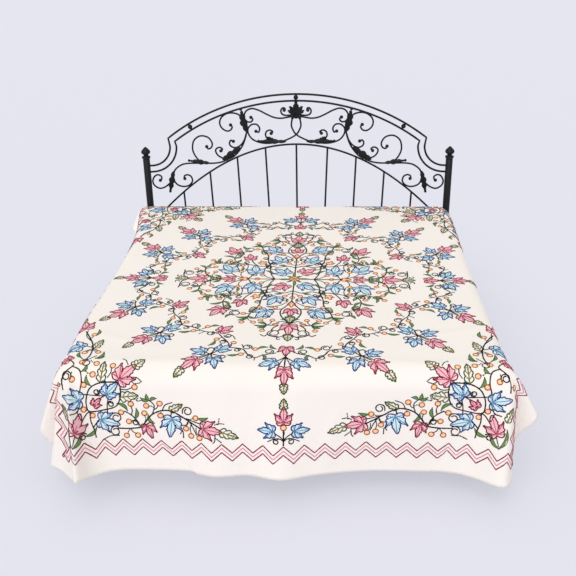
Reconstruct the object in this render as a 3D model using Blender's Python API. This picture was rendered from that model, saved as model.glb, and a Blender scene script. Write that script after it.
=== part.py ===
"""Embroidered bedspread draped over a double bed with a wrought-iron headboard.

Metres, +Z up. X runs across the bed, +Y towards the headboard, and the origin is on the floor
under the foot of the centre leg. The bedspread is one sheet: flat on the mattress, turned over
its edges, and hanging in folds that fan out from the mattress corners.
"""

import math
from collections import namedtuple

import bmesh
import bpy
from mathutils import Vector

# Heights and gaps. A seat gap parts faces that rest on each other, and a cut gap parts a piece
# from the round tube that it is cut to fit over.
BED_TOP = 0.600
SEAT_GAP = 0.0003
CUT_GAP = 0.00045

# Bedspread, cut 90 by 108 inches
CLOTH_WIDTH = 2.29
CLOTH_LENGTH = 2.74
CLOTH_THICKNESS = 0.002
CLOTH_CENTRE_X = 0.028
CLOTH_CENTRE_Y = -0.060
CLOTH_TURN = math.radians(0.56)

# How the bedspread leaves the mattress: the radius of its turn, where its flat part ends towards
# the foot and the head, and how far each panel leans out from straight down, in degrees
SIDE_RADIUS = 0.050
FOOT_RADIUS = 0.085
HEAD_RADIUS = 0.045
FOOT_LIMIT = 0.905
HEAD_LIMIT = 0.985
CORNER_END = -1.06
SIDE_FLARE = 8.0
FOOT_FLARE = 8.0
HEAD_FLARE = 0.0

# Where the flat part ends towards each side, at places along the bed. The last place towards the
# foot, CORNER_END, lies past the mattress, where the cloth stands off its corner.
FlatLimit = namedtuple("FlatLimit", "y left right")
FLAT_LIMITS = (
    FlatLimit(-1.06, 0.894, 0.955),
    FlatLimit(-0.905, 0.892, 0.920),
    FlatLimit(-0.50, 0.896, 0.904),
    FlatLimit(-0.10, 0.880, 0.897),
    FlatLimit(0.30, 0.873, 0.892),
    FlatLimit(0.60, 0.884, 0.894),
    FlatLimit(0.80, 0.910, 0.890),
    FlatLimit(1.00, 0.940, 0.880),
)

# Forward swing of the hem along the foot of the bed, at a drop of one wave depth
WAVE_DEPTH = 0.42
HemWave = namedtuple("HemWave", "x swing")
FOOT_WAVES = (
    HemWave(-0.85, 0.000),
    HemWave(-0.42, 0.000),
    HemWave(-0.28, 0.035),
    HemWave(-0.14, 0.016),
    HemWave(0.00, 0.050),
    HemWave(0.13, 0.006),
    HemWave(0.27, -0.024),
    HemWave(0.42, -0.040),
    HemWave(0.78, -0.036),
    HemWave(0.96, 0.000),
)

# Rays of cloth round a mattress corner. The angle is measured in the flat cloth, from square to
# the side edge (0) to square to the end edge (90). Outward and endward are how far the hanging
# ray leans from straight down, in degrees, away from the side and away from the end.
Ray = namedtuple("Ray", "angle outward endward")
FOOT_LEFT_RAYS = (
    Ray(-30, 8, -30),
    Ray(-16, 17, -24),
    Ray(-6, 18, -15),
    Ray(6, 8, -12),
    Ray(16, 4, -6),
    Ray(28, 11, 0),
    Ray(41, 18, 5),
    Ray(50, 19, 8),
    Ray(56, 12, 4),
    Ray(61, 8, -1),
    Ray(66, 12, 0),
    Ray(73, 4, 8),
    Ray(81, -5, 23),
    Ray(88, -9, 32),
    Ray(95, -12, 20),
    Ray(102, -17, 13),
    Ray(110, -23.5, 10),
    Ray(122, -34, 9),
    Ray(135, -46, 8),
)
FOOT_RIGHT_RAYS = (
    Ray(-30, 8, -30),
    Ray(-15, 17, -23),
    Ray(-5, 17, -15),
    Ray(8, 8, -11),
    Ray(16, 8, -5),
    Ray(27, 18, 3),
    Ray(37, 21, 7),
    Ray(44, 16, 7),
    Ray(53, 6, 0),
    Ray(60, 2, -4),
    Ray(68, 1, -3),
    Ray(76, 2, 5),
    Ray(86, -1.5, 16),
    Ray(93, -7.5, 16),
    Ray(100, -13, 13),
    Ray(108, -20.5, 10),
    Ray(120, -31, 8),
)
HEAD_RAYS = (
    Ray(-30, 8, -30),
    Ray(-13, 22, -25),
    Ray(-5, 23, -19),
    Ray(12, 8, -14),
    Ray(20, 8, -8),
    Ray(34, 21, -4),
    Ray(42, 21, 0),
    Ray(57, 7, 0),
    Ray(66, 4, -3),
    Ray(82, 2, -2),
    Ray(98, -8, 0),
    Ray(112, -22, 0),
)

# The grid of the sheet is closest where the cloth bends: distance in from each hem, and step
GridBand = namedtuple("GridBand", "reach step")
SIDE_BANDS = (GridBand(0.14, 0.035), GridBand(0.32, 0.026), GridBand(0.47, 0.06))
FOOT_BANDS = (GridBand(0.39, 0.039), GridBand(0.55, 0.027), GridBand(0.70, 0.07))
HEAD_BANDS = (GridBand(0.28, 0.056), GridBand(0.44, 0.027), GridBand(0.59, 0.07))
CENTRE_STEP = 0.22

# Mattress and its base
MATTRESS_HALF_WIDTH = 0.915
MATTRESS_FOOT_Y = -0.930
MATTRESS_HEAD_Y = 1.015
MATTRESS_HEIGHT = 0.200
MATTRESS_EDGE = 0.050
BASE_HEIGHT = 0.190
BASE_INSET = 0.008
BASE_EDGE = 0.012
RAIL_HEIGHT = 0.050
RAIL_WIDTH = 0.030
RAIL_INSET = 0.030
LEG_SIZE = 0.040
LEG_INSET = 0.060

# Headboard
HEAD_Y = 1.060
POST_X = 0.937
POST_RADIUS = 0.0215
POST_TOP = 0.292
TURNED_STEPS = 16
RAIL_TUBE = 0.006
ARCH_TUBE = 0.0055
BAR_TUBE = 0.0055
SCROLL_TUBE = 0.0045
SCROLL_BULB = 0.0095
RAIL_SIDES = 8
SCROLL_SIDES = 6
BAR_SIDES = 6
OUTER_ARC_RADIUS = 1.300
OUTER_ARC_TOP = 0.689
OUTER_ARC_STEPS = 14
RAIL_SPACING = 0.040
SHOULDER_X = 0.907
SHOULDER_Z = 0.372
SHOULDER_RADIUS = 0.125
SHOULDER_LEAN = 0.008
SHOULDER_STEPS = 8
BALL_X = 0.649
BALL_RADIUS = 0.0137
ARCH_TOP = 0.382
ARCH_FALL = 0.60
ARCH_STEPS = 16
ARCH_END_INSET = 0.0044
BAR_COUNT = 9
BAR_PITCH = 0.178
BAR_LEAN = 0.035
HEAD_RAIL_TOP = -0.395
HEAD_RAIL_SIZE = 0.030

# A curve between two points of a scroll is read in this many parts. Its tube has a ring at each
# turn of so many degrees, and at least one each long step.
CURVE_PARTS = 8
SCROLL_TURN = 34.0
SCROLL_LONG_STEP = 0.10

# Rings of a scroll's end bulb, as parts of its radius
BulbRing = namedtuple("BulbRing", "along width")
BULB_RINGS = (BulbRing(-0.9, 0.45), BulbRing(-0.3, 0.95), BulbRing(0.3, 0.95), BulbRing(0.9, 0.45))

# Scrolls of the right half, through (x, height above the bed top); the last point is the bulb
SCROLLS = {
    "post": ((0.782, 0.150), (0.825, 0.112), (0.865, 0.098), (0.899, 0.117), (0.908, 0.148),
             (0.893, 0.178), (0.872, 0.187), (0.853, 0.178), (0.850, 0.163), (0.860, 0.151)),
    "long": ((0.774, 0.180), (0.762, 0.218), (0.722, 0.250), (0.676, 0.261), (0.600, 0.262),
             (0.516, 0.262), (0.465, 0.270), (0.425, 0.286)),
    "loop": ((0.774, 0.205), (0.772, 0.153), (0.752, 0.122), (0.713, 0.110), (0.678, 0.119),
             (0.657, 0.145), (0.663, 0.175), (0.686, 0.187), (0.706, 0.178), (0.704, 0.162)),
    "crook": ((0.592, 0.265), (0.624, 0.302), (0.642, 0.348), (0.635, 0.399), (0.608, 0.428),
              (0.576, 0.436), (0.539, 0.423), (0.519, 0.389), (0.526, 0.362), (0.546, 0.354),
              (0.554, 0.368)),
    "curl": ((0.430, 0.284), (0.479, 0.306), (0.499, 0.334), (0.495, 0.354), (0.473, 0.363),
             (0.457, 0.352), (0.467, 0.341)),
    "stem": ((0.435, 0.282), (0.380, 0.312), (0.334, 0.370), (0.311, 0.427), (0.303, 0.465),
             (0.300, 0.500), (0.312, 0.540)),
    "hook": ((0.307, 0.446), (0.320, 0.408), (0.343, 0.377), (0.375, 0.361), (0.403, 0.370),
             (0.412, 0.390), (0.402, 0.407), (0.387, 0.401)),
    "ring": ((0.318, 0.535), (0.348, 0.566), (0.387, 0.577), (0.425, 0.571), (0.454, 0.549),
             (0.466, 0.519), (0.457, 0.488), (0.430, 0.467), (0.405, 0.469), (0.391, 0.488),
             (0.400, 0.503)),
    "wave": ((0.010, 0.556), (0.042, 0.551), (0.092, 0.543), (0.135, 0.549), (0.178, 0.568),
             (0.220, 0.590), (0.263, 0.603), (0.297, 0.592), (0.314, 0.566), (0.312, 0.542),
             (0.298, 0.524), (0.276, 0.521), (0.263, 0.536), (0.274, 0.549)),
    "heart": ((-0.018, 0.560), (-0.029, 0.505), (-0.019, 0.470), (0.003, 0.440), (0.051, 0.413),
              (0.095, 0.398), (0.145, 0.390), (0.189, 0.388), (0.233, 0.396), (0.270, 0.415),
              (0.293, 0.449), (0.293, 0.482), (0.270, 0.505), (0.240, 0.505), (0.223, 0.482),
              (0.230, 0.458), (0.246, 0.463)),
    "sprig": ((0.158, 0.388), (0.176, 0.414), (0.188, 0.439), (0.181, 0.462), (0.160, 0.470),
              (0.144, 0.460), (0.153, 0.450)),
    "crest": ((0.030, 0.562), (0.066, 0.561), (0.086, 0.571), (0.091, 0.590), (0.080, 0.606),
              (0.066, 0.602), (0.071, 0.592)),
}

# Forged leaves of the right half: foot and tip of the midrib, and half width
Leaf = namedtuple("Leaf", "foot_x foot_z tip_x tip_z half_width")
LEAVES = (
    Leaf(0.772, 0.205, 0.800, 0.080, 0.020),
    Leaf(0.548, 0.262, 0.662, 0.276, 0.017),
    Leaf(0.455, 0.284, 0.345, 0.358, 0.020),
    Leaf(0.300, 0.462, 0.335, 0.590, 0.019),
    Leaf(0.085, 0.398, 0.218, 0.398, 0.017),
)
LEAF_THICKNESS = 0.014
LEAF_EDGE = 0.003
LEAF_LOBES = 3
LEAF_MIDDLE = 0.45

# One lobe of a leaf, as parts of its length: where it is narrow, where wide, and the narrow width
LOBE_NECK = 0.15
LOBE_SWELL = 0.75
LOBE_NECK_WIDTH = 0.55

# Cast crest in the middle, half outline from its neck down to its foot
CREST_MIDDLE = 0.585
CREST_OUTLINE = (
    (0.006, 0.640), (0.020, 0.632), (0.013, 0.620), (0.034, 0.606), (0.029, 0.596),
    (0.049, 0.588), (0.050, 0.574), (0.036, 0.566), (0.040, 0.552), (0.020, 0.546),
)
CREST_THICKNESS = 0.022
CREST_EDGE = 0.0088

# Turned outline of a post's finial: radius, height above the bed top
FINIAL_PROFILE = (
    (0.0, 0.2923), (0.024, 0.2923), (0.027, 0.299), (0.024, 0.307), (0.014, 0.313),
    (0.016, 0.319), (0.026, 0.327), (0.0285, 0.336), (0.023, 0.347), (0.011, 0.360), (0.0, 0.368),
)

IRON = ("black iron", (0.012, 0.012, 0.015), 0.45, 0.6)
CLOTH = ("cream cotton", (0.86, 0.82, 0.77), 0.90, 0.0)
TICKING = ("mattress cloth", (0.80, 0.80, 0.78), 0.90, 0.0)


def clear_scene():
    """Remove what the scene holds."""
    for old in list(bpy.data.objects):
        bpy.data.objects.remove(old, do_unlink=True)


def material_for(finish):
    """One Principled material for a named finish."""
    name, colour, roughness, metallic = finish
    material = bpy.data.materials.new(name)
    material.use_nodes = True
    shader = material.node_tree.nodes["Principled BSDF"]
    shader.inputs["Base Color"].default_value = (*colour, 1.0)
    shader.inputs["Roughness"].default_value = roughness
    shader.inputs["Metallic"].default_value = metallic
    return material


def add_object(name, mesh, finish, smooth_angle=30.0):
    """Link a mesh as one named piece with its finish."""
    piece = bpy.data.objects.new(name, mesh)
    bpy.context.scene.collection.objects.link(piece)
    mesh.materials.clear()
    mesh.materials.append(material_for(finish))
    if smooth_angle > 0:
        mesh.shade_smooth()
        mesh.set_sharp_from_angle(angle=math.radians(smooth_angle))
    return piece


def mesh_from(name, points, faces):
    """A mesh of points and faces whose faces all point outwards."""
    mesh = bpy.data.meshes.new(name)
    work = bmesh.new()
    corners = [work.verts.new(point) for point in points]
    for face in faces:
        work.faces.new([corners[index] for index in face])
    bmesh.ops.recalc_face_normals(work, faces=work.faces)
    work.to_mesh(mesh)
    work.free()
    return mesh


def smooth_value(rows, at, key, column):
    """A smooth curve through a table's rows, level beyond its ends."""
    keys = [getattr(row, key) for row in rows]
    values = [getattr(row, column) for row in rows]
    last = len(rows) - 1
    if at <= keys[0]:
        return values[0]
    if at >= keys[last]:
        return values[last]
    first = max(index for index in range(last) if keys[index] <= at)

    def slope(index):
        low, high = max(index - 1, 0), min(index + 1, last)
        return (values[high] - values[low]) / (keys[high] - keys[low])

    span = keys[first + 1] - keys[first]
    t = (at - keys[first]) / span
    start, end = values[first], values[first + 1]
    start_slope, end_slope = slope(first) * span, slope(first + 1) * span
    return ((2 * t**3 - 3 * t**2 + 1) * start + (t**3 - 2 * t**2 + t) * start_slope
            + (3 * t**2 - 2 * t**3) * end + (t**3 - t**2) * end_slope)


def hanging_ray(outward, endward):
    """Unit direction of a hanging ray of cloth, as (outward, endward, down)."""
    ray = Vector((math.tan(math.radians(outward)), math.tan(math.radians(endward)), 1.0))
    return ray.normalized()


def corner_ray(rays, angle):
    """The fold's direction at an angle of the flat cloth, in degrees."""
    return hanging_ray(smooth_value(rays, angle, "angle", "outward"),
                       smooth_value(rays, angle, "angle", "endward"))


def over_edge(distance, radius):
    """How far cloth reaches out and then down after it leaves the flat on a turn of this radius."""
    quarter = radius * math.pi / 2
    if distance < quarter:
        turn = distance / radius
        return radius * math.sin(turn), radius * (1 - math.cos(turn))
    return radius, radius + distance - quarter


def drape(u, v):
    """Place a point of the flat bedspread, measured from its middle, on the bed."""
    x = CLOTH_CENTRE_X + math.cos(CLOTH_TURN) * u + math.sin(CLOTH_TURN) * v
    y = CLOTH_CENTRE_Y - math.sin(CLOTH_TURN) * u + math.cos(CLOTH_TURN) * v
    side = -1 if x < 0 else 1
    side_name = "left" if x < 0 else "right"
    end = -1 if y < 0 else 1
    end_limit = FOOT_LIMIT if y < 0 else HEAD_LIMIT
    end_radius = FOOT_RADIUS if y < 0 else HEAD_RADIUS
    if y > 0:
        rays, end_flare = HEAD_RAYS, HEAD_FLARE
    elif x < 0:
        rays, end_flare = FOOT_LEFT_RAYS, FOOT_FLARE
    else:
        rays, end_flare = FOOT_RIGHT_RAYS, FOOT_FLARE
    level_y = max(CORNER_END, min(HEAD_LIMIT, y))
    side_limit = smooth_value(FLAT_LIMITS, level_y, "y", side_name)
    past_side = abs(x) - side_limit
    past_end = abs(y) - end_limit
    if past_side <= 0 and past_end <= 0:
        return Vector((x, y, BED_TOP))

    if past_side > 0 and past_end > 0:
        reach = math.hypot(past_side, past_end)
        angle = math.atan2(past_end, past_side)
        out, down = over_edge(reach, SIDE_RADIUS + (end_radius - SIDE_RADIUS) * math.sin(angle)**2)
        place = Vector((side_limit + out * math.cos(angle), end_limit + out * math.sin(angle), 0.0))
        place += down * corner_ray(rays, math.degrees(angle))
    elif past_side > 0:
        out, down = over_edge(past_side, SIDE_RADIUS)
        panel = hanging_ray(SIDE_FLARE, 0)
        place = Vector((side_limit + out, abs(y), 0.0)) + down * panel
        reach = math.hypot(past_side, past_end)
        angle = math.degrees(math.atan2(past_end, past_side))
        if angle > rays[0].angle:
            flat_ray = (past_side * panel + Vector((0.0, past_end, 0.0))) / reach
            place += down / past_side * reach * (corner_ray(rays, angle) - flat_ray)
    else:
        out, down = over_edge(past_end, end_radius)
        panel = hanging_ray(0, end_flare)
        swing = smooth_value(FOOT_WAVES, x, "x", "swing") if end < 0 else 0.0
        wavy = hanging_ray(0, end_flare + math.degrees(math.atan(swing / WAVE_DEPTH)))
        place = Vector((abs(x), end_limit + out, 0.0)) + down * wavy
        reach = math.hypot(past_side, past_end)
        angle = math.degrees(math.atan2(past_end, past_side))
        if angle < rays[-1].angle:
            flat_ray = (past_end * panel + Vector((past_side, 0.0, 0.0))) / reach
            place += down / past_end * reach * (corner_ray(rays, angle) - flat_ray)
    return Vector((side * place.x, end * place.y, BED_TOP - place.z))


def grid_lines(length, low_bands, high_bands):
    """Places of the grid lines along one measure of the sheet, from hem to hem."""
    def band_lines(bands):
        lines, start = [], 0.0
        for band in bands:
            count = max(1, round((band.reach - start) / band.step))
            lines += [start + (band.reach - start) * index / count for index in range(count)]
            start = band.reach
        return lines, start

    low_lines, low_reach = band_lines(low_bands)
    high_lines, high_reach = band_lines(high_bands)
    middle = length - low_reach - high_reach
    count = max(1, round(middle / CENTRE_STEP))
    centre = [low_reach + middle * index / count for index in range(count + 1)]
    places = low_lines + centre + [length - line for line in reversed(high_lines)]
    return [place - length / 2 for place in places]


def make_bedspread():
    """The whole sheet, its top face on the drape and its thickness beneath."""
    across = grid_lines(CLOTH_WIDTH, SIDE_BANDS, SIDE_BANDS)
    along = grid_lines(CLOTH_LENGTH, FOOT_BANDS, HEAD_BANDS)
    mesh = bpy.data.meshes.new("bedspread")
    work = bmesh.new()
    rows = [[work.verts.new(drape(u, v)) for u in across] for v in along]
    for low, high in zip(rows, rows[1:]):
        for index in range(len(across) - 1):
            work.faces.new((low[index], low[index + 1], high[index + 1], high[index]))
    work.to_mesh(mesh)
    work.free()
    sheet = add_object("bedspread", mesh, CLOTH, smooth_angle=60.0)
    solid = sheet.modifiers.new("Thickness", "SOLIDIFY")
    solid.thickness = CLOTH_THICKNESS
    solid.offset = -1.0
    solid.use_even_offset = False
    return sheet


def make_box(name, low, high, finish, edge=0.0, segments=3):
    """A box between two corners, with its edges rounded where an edge radius is given."""
    points = [(x, y, z) for z in (low[2], high[2]) for y in (low[1], high[1]) for x in (low[0], high[0])]
    faces = ((0, 2, 3, 1), (4, 5, 7, 6), (0, 1, 5, 4), (2, 6, 7, 3), (0, 4, 6, 2), (1, 3, 7, 5))
    piece = add_object(name, mesh_from(name, points, faces), finish)
    if edge > 0:
        bevel = piece.modifiers.new("Round edges", "BEVEL")
        bevel.width = edge
        bevel.segments = segments
        bevel.limit_method = "ANGLE"
    return piece


def make_bed_base():
    """Mattress, box base, rails, centre beam and the legs at the foot and the middle."""
    mattress_top = BED_TOP - CLOTH_THICKNESS - SEAT_GAP
    mattress_low = mattress_top - MATTRESS_HEIGHT
    base_top = mattress_low - SEAT_GAP
    base_low = base_top - BASE_HEIGHT
    rail_top = base_low - SEAT_GAP
    rail_low = rail_top - RAIL_HEIGHT
    half = MATTRESS_HALF_WIDTH
    make_box("mattress", (-half, MATTRESS_FOOT_Y, mattress_low), (half, MATTRESS_HEAD_Y, mattress_top),
             TICKING, edge=MATTRESS_EDGE)
    make_box("box_base", (-half + BASE_INSET, MATTRESS_FOOT_Y + BASE_INSET, base_low),
             (half - BASE_INSET, MATTRESS_HEAD_Y - BASE_INSET, base_top), TICKING, edge=BASE_EDGE)

    foot_y = MATTRESS_FOOT_Y + RAIL_INSET
    head_y = HEAD_Y - HEAD_RAIL_SIZE / 2 - SEAT_GAP
    rail_outer = half - RAIL_INSET
    rail_inner = rail_outer - RAIL_WIDTH
    for name, side in (("side_rail_left", -1), ("side_rail_right", 1)):
        low_x, high_x = sorted((side * rail_outer, side * rail_inner))
        make_box(name, (low_x, foot_y, rail_low), (high_x, head_y, rail_top), IRON)
    inner = rail_inner - SEAT_GAP
    make_box("foot_rail", (-inner, foot_y, rail_low), (inner, foot_y + RAIL_WIDTH, rail_top), IRON)
    make_box("centre_beam", (-RAIL_WIDTH / 2, foot_y + RAIL_WIDTH + SEAT_GAP, rail_low),
             (RAIL_WIDTH / 2, head_y, rail_top), IRON)

    leg_top = rail_low - SEAT_GAP
    for name, side in (("foot_leg_left", -1), ("foot_leg_right", 1)):
        centre_x = side * (rail_outer - LEG_SIZE / 2)
        centre_y = foot_y + LEG_INSET
        make_box(name, (centre_x - LEG_SIZE / 2, centre_y - LEG_SIZE / 2, 0.0),
                 (centre_x + LEG_SIZE / 2, centre_y + LEG_SIZE / 2, leg_top), IRON)
    make_box("centre_leg", (-LEG_SIZE / 2, -LEG_SIZE / 2, 0.0), (LEG_SIZE / 2, LEG_SIZE / 2, leg_top), IRON)


def at_head(x, height):
    """A point in the headboard's plane, at a height above the bed top."""
    return Vector((x, HEAD_Y, BED_TOP + height))


def turned(name, profile, centre_x):
    """An iron piece turned round an upright axis from (radius, height above the bed top)."""
    mesh = bpy.data.meshes.new(name)
    work = bmesh.new()
    points = [work.verts.new((centre_x + radius, HEAD_Y, BED_TOP + height)) for radius, height in profile]
    edges = [work.edges.new(pair) for pair in zip(points, points[1:])]
    bmesh.ops.spin(work, geom=points + edges, cent=(centre_x, HEAD_Y, 0.0), axis=(0.0, 0.0, 1.0),
                   angle=2 * math.pi, steps=TURNED_STEPS, use_merge=True, use_duplicate=False)
    bmesh.ops.remove_doubles(work, verts=work.verts, dist=1e-6)
    bmesh.ops.recalc_face_normals(work, faces=work.faces)
    work.to_mesh(mesh)
    work.free()
    return add_object(name, mesh, IRON)


def smooth_path(points, turn_step, long_step):
    """Points of a smooth curve through the given points, closer where it turns."""
    count = len(points)
    fine = []
    for index in range(count - 1):
        before = points[max(index - 1, 0)]
        start, end = points[index], points[index + 1]
        after = points[min(index + 2, count - 1)]
        for part in range(CURVE_PARTS):
            t = part / CURVE_PARTS
            fine.append(0.5 * ((2 * start) + (end - before) * t
                               + (2 * before - 5 * start + 4 * end - after) * t**2
                               + (3 * start - before - 3 * end + after) * t**3))
    fine.append(points[-1])
    path, turned_by, run = [fine[0]], 0.0, 0.0
    for before, here, after in zip(fine, fine[1:], fine[2:]):
        turned_by += (here - before).angle(after - here, 0.0)
        run += (here - before).length
        if turned_by >= turn_step or run >= long_step:
            path.append(here)
            turned_by, run = 0.0, 0.0
    path.append(fine[-1])
    return path


def tube_mesh(name, path, radius, sides, end_bulb=0.0):
    """A closed tube in the headboard's plane, with a ball on its end where a bulb is given."""
    rings = [(point, radius) for point in path]
    if end_bulb > 0:
        heading = (path[-1] - path[-2]).normalized()
        rings = rings[:-1] + [(path[-1] + heading * end_bulb * ring.along, end_bulb * ring.width)
                              for ring in BULB_RINGS]
    points, faces = [], []
    for index, (centre, width) in enumerate(rings):
        low = rings[max(index - 1, 0)][0]
        high = rings[min(index + 1, len(rings) - 1)][0]
        heading = (high - low).normalized()
        across = heading.cross(Vector((0.0, 1.0, 0.0))).normalized()
        for side in range(sides):
            turn = 2 * math.pi * (side + 0.5) / sides
            points.append(centre + width * (across * math.cos(turn) + Vector((0.0, math.sin(turn), 0.0))))
    for ring in range(len(rings) - 1):
        for side in range(sides):
            following = (side + 1) % sides
            faces.append((ring * sides + side, ring * sides + following,
                          (ring + 1) * sides + following, (ring + 1) * sides + side))
    faces.append(tuple(range(sides)))
    faces.append(tuple((len(rings) - 1) * sides + side for side in range(sides)))
    return mesh_from(name, points, faces)


def outer_rail_path(inset):
    """Right half of a head rail, from the middle to the post; the inner one is inset."""
    arc_radius = OUTER_ARC_RADIUS - inset
    centre_z = OUTER_ARC_TOP - OUTER_ARC_RADIUS
    shoulder = SHOULDER_RADIUS + inset
    corner_x = SHOULDER_X - shoulder + SHOULDER_LEAN
    reach = math.asin(corner_x / arc_radius)
    arc = []
    for step in range(OUTER_ARC_STEPS + 1):
        turn = reach * step / OUTER_ARC_STEPS
        arc.append(at_head(arc_radius * math.sin(turn), centre_z + arc_radius * math.cos(turn)))
    curve = []
    for step in range(SHOULDER_STEPS + 1):
        turn = math.pi + math.pi / 2 * step / SHOULDER_STEPS
        x = SHOULDER_X + shoulder * math.cos(turn)
        curve.append(at_head(x, SHOULDER_Z + shoulder * math.sin(turn)))
    return arc + curve + [at_head(POST_X - POST_RADIUS - SEAT_GAP, SHOULDER_Z - shoulder)]


def mirrored(path):
    """The same path on the left half."""
    return [Vector((-point.x, point.y, point.z)) for point in path]


def whole(half):
    """A path from post to post from its right half."""
    return [*reversed(mirrored(half[1:])), *half]


def arch_height(x):
    """Height of the lower arch above the bed top."""
    return ARCH_TOP - ARCH_FALL * x**2


def arch_path():
    """The lower arch from post to post, a parabola whose slanting ends stop clear of the posts."""
    end_x = POST_X - POST_RADIUS - SEAT_GAP - ARCH_END_INSET
    places = [end_x * step / ARCH_STEPS for step in range(ARCH_STEPS + 1)]
    return whole([at_head(x, arch_height(x)) for x in places])


def applied(piece):
    """The piece's mesh with its modifiers made permanent."""
    graph = bpy.context.evaluated_depsgraph_get()
    mesh = bpy.data.meshes.new_from_object(piece.evaluated_get(graph))
    piece.modifiers.clear()
    return mesh


def combine(piece, mesh, operation):
    """Join a mesh to the piece, or cut it out, and keep the result as the piece's own mesh."""
    other = bpy.data.objects.new("tool", mesh)
    bpy.context.scene.collection.objects.link(other)
    cut = piece.modifiers.new("Shape", "BOOLEAN")
    cut.operation = operation
    cut.solver = "EXACT"
    cut.object = other
    piece.data = applied(piece)
    bpy.data.objects.remove(other, do_unlink=True)


def flat_casting(name, outline, middle, edge_thickness, thickness):
    """A closed outline in the headboard's plane, thin at its edge and thick at its middle."""
    edge = Vector((0.0, edge_thickness / 2, 0.0))
    crown = Vector((0.0, thickness / 2, 0.0))
    count = len(outline)
    points = [point + edge for point in outline] + [point - edge for point in outline]
    points += [middle + crown, middle - crown]
    faces = []
    for index in range(count):
        following = (index + 1) % count
        faces.append((index, following, 2 * count))
        faces.append((count + following, count + index, 2 * count + 1))
        faces.append((following, index, count + index, count + following))
    return mesh_from(name, points, faces)


def leaf_mesh(leaf, side):
    """A forged leaf with a lobed outline."""
    foot = at_head(side * leaf.foot_x, leaf.foot_z)
    tip = at_head(side * leaf.tip_x, leaf.tip_z)
    along = tip - foot
    across = along.cross(Vector((0.0, 1.0, 0.0))).normalized()
    profile = []
    for lobe in range(LEAF_LOBES):
        swell = leaf.half_width * math.sin(math.pi * (lobe + 0.8) / (LEAF_LOBES + 0.6))
        profile.append(((lobe + LOBE_NECK) / LEAF_LOBES, swell * LOBE_NECK_WIDTH))
        profile.append(((lobe + LOBE_SWELL) / LEAF_LOBES, swell))
    outline = [foot] + [foot + along * part + across * width for part, width in profile] + [tip]
    outline += [foot + along * part - across * width for part, width in reversed(profile)]
    return flat_casting("leaf", outline, foot + along * LEAF_MIDDLE, LEAF_EDGE, LEAF_THICKNESS)


def crest_mesh():
    """The cast crest: a lobed shield that reaches up to the inner rail."""
    outline = [at_head(x, z) for x, z in CREST_OUTLINE]
    outline += [at_head(-x, z) for x, z in reversed(CREST_OUTLINE)]
    return flat_casting("crest", outline, at_head(0.0, CREST_MIDDLE), CREST_EDGE, CREST_THICKNESS)


def scroll_path(name, side):
    """One scroll's smooth path on the left (-1) or right (1) half."""
    points = [at_head(side * x, z) for x, z in SCROLLS[name]]
    return smooth_path(points, math.radians(SCROLL_TURN), SCROLL_LONG_STEP)


def make_scrollwork():
    """All scrolls, leaves and the crest, welded into one piece and seated on rails and arch."""
    parts = []
    for side in (1, -1):
        for name in SCROLLS:
            bulb = 0.0 if name in ("long", "stem") else SCROLL_BULB
            parts.append(tube_mesh(name, scroll_path(name, side), SCROLL_TUBE, SCROLL_SIDES, bulb))
        parts += [leaf_mesh(leaf, side) for leaf in LEAVES]
    work = add_object("scrollwork", crest_mesh(), IRON)
    for mesh in parts:
        combine(work, mesh, "UNION")
    for path, radius in ((arch_path(), ARCH_TUBE), (whole(outer_rail_path(RAIL_SPACING)), RAIL_TUBE)):
        combine(work, tube_mesh("seat", path, radius + CUT_GAP, RAIL_SIDES), "DIFFERENCE")
    work.data.materials.clear()
    work.data.materials.append(material_for(IRON))
    return work


def bar_mesh(name, foot, top):
    """A closed straight bar between two points, its ends level."""
    points, faces = [], []
    for centre in (foot, top):
        for side in range(BAR_SIDES):
            turn = 2 * math.pi * side / BAR_SIDES
            points.append(centre + BAR_TUBE * Vector((math.cos(turn), math.sin(turn), 0.0)))
    for side in range(BAR_SIDES):
        following = (side + 1) % BAR_SIDES
        faces.append((side, following, BAR_SIDES + following, BAR_SIDES + side))
    faces += [tuple(range(BAR_SIDES)), tuple(range(BAR_SIDES, 2 * BAR_SIDES))]
    return mesh_from(name, points, faces)


def make_bars():
    """Upright bars from the head rail to the arch, fanning a little outwards."""
    foot = HEAD_RAIL_TOP + SEAT_GAP
    for index in range(BAR_COUNT):
        place = index - BAR_COUNT // 2
        lean = math.copysign(BAR_LEAN, place) if place else 0.0
        foot_x = place * BAR_PITCH + lean * foot
        top_x = place * BAR_PITCH + lean * arch_height(place * BAR_PITCH)
        name = f"bar_{index + 1}"
        mesh = bar_mesh(name, at_head(foot_x, foot), at_head(top_x, arch_height(top_x)))
        bar = add_object(name, mesh, IRON)
        combine(bar, tube_mesh("seat", arch_path(), ARCH_TUBE + CUT_GAP, RAIL_SIDES), "DIFFERENCE")


def make_rail_balls():
    """Three balls held between the outer and the inner rail."""
    middle_radius = OUTER_ARC_RADIUS - RAIL_SPACING / 2
    centre_z = OUTER_ARC_TOP - OUTER_ARC_RADIUS
    for name, x in (("rail_ball_left", -BALL_X), ("rail_ball_middle", 0.0), ("rail_ball_right", BALL_X)):
        height = centre_z + math.sqrt(middle_radius**2 - x**2)
        mesh = bpy.data.meshes.new(name)
        work = bmesh.new()
        bmesh.ops.create_uvsphere(work, u_segments=12, v_segments=8, radius=BALL_RADIUS)
        bmesh.ops.translate(work, verts=work.verts, vec=at_head(x, height))
        work.to_mesh(mesh)
        work.free()
        add_object(name, mesh, IRON)


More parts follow.
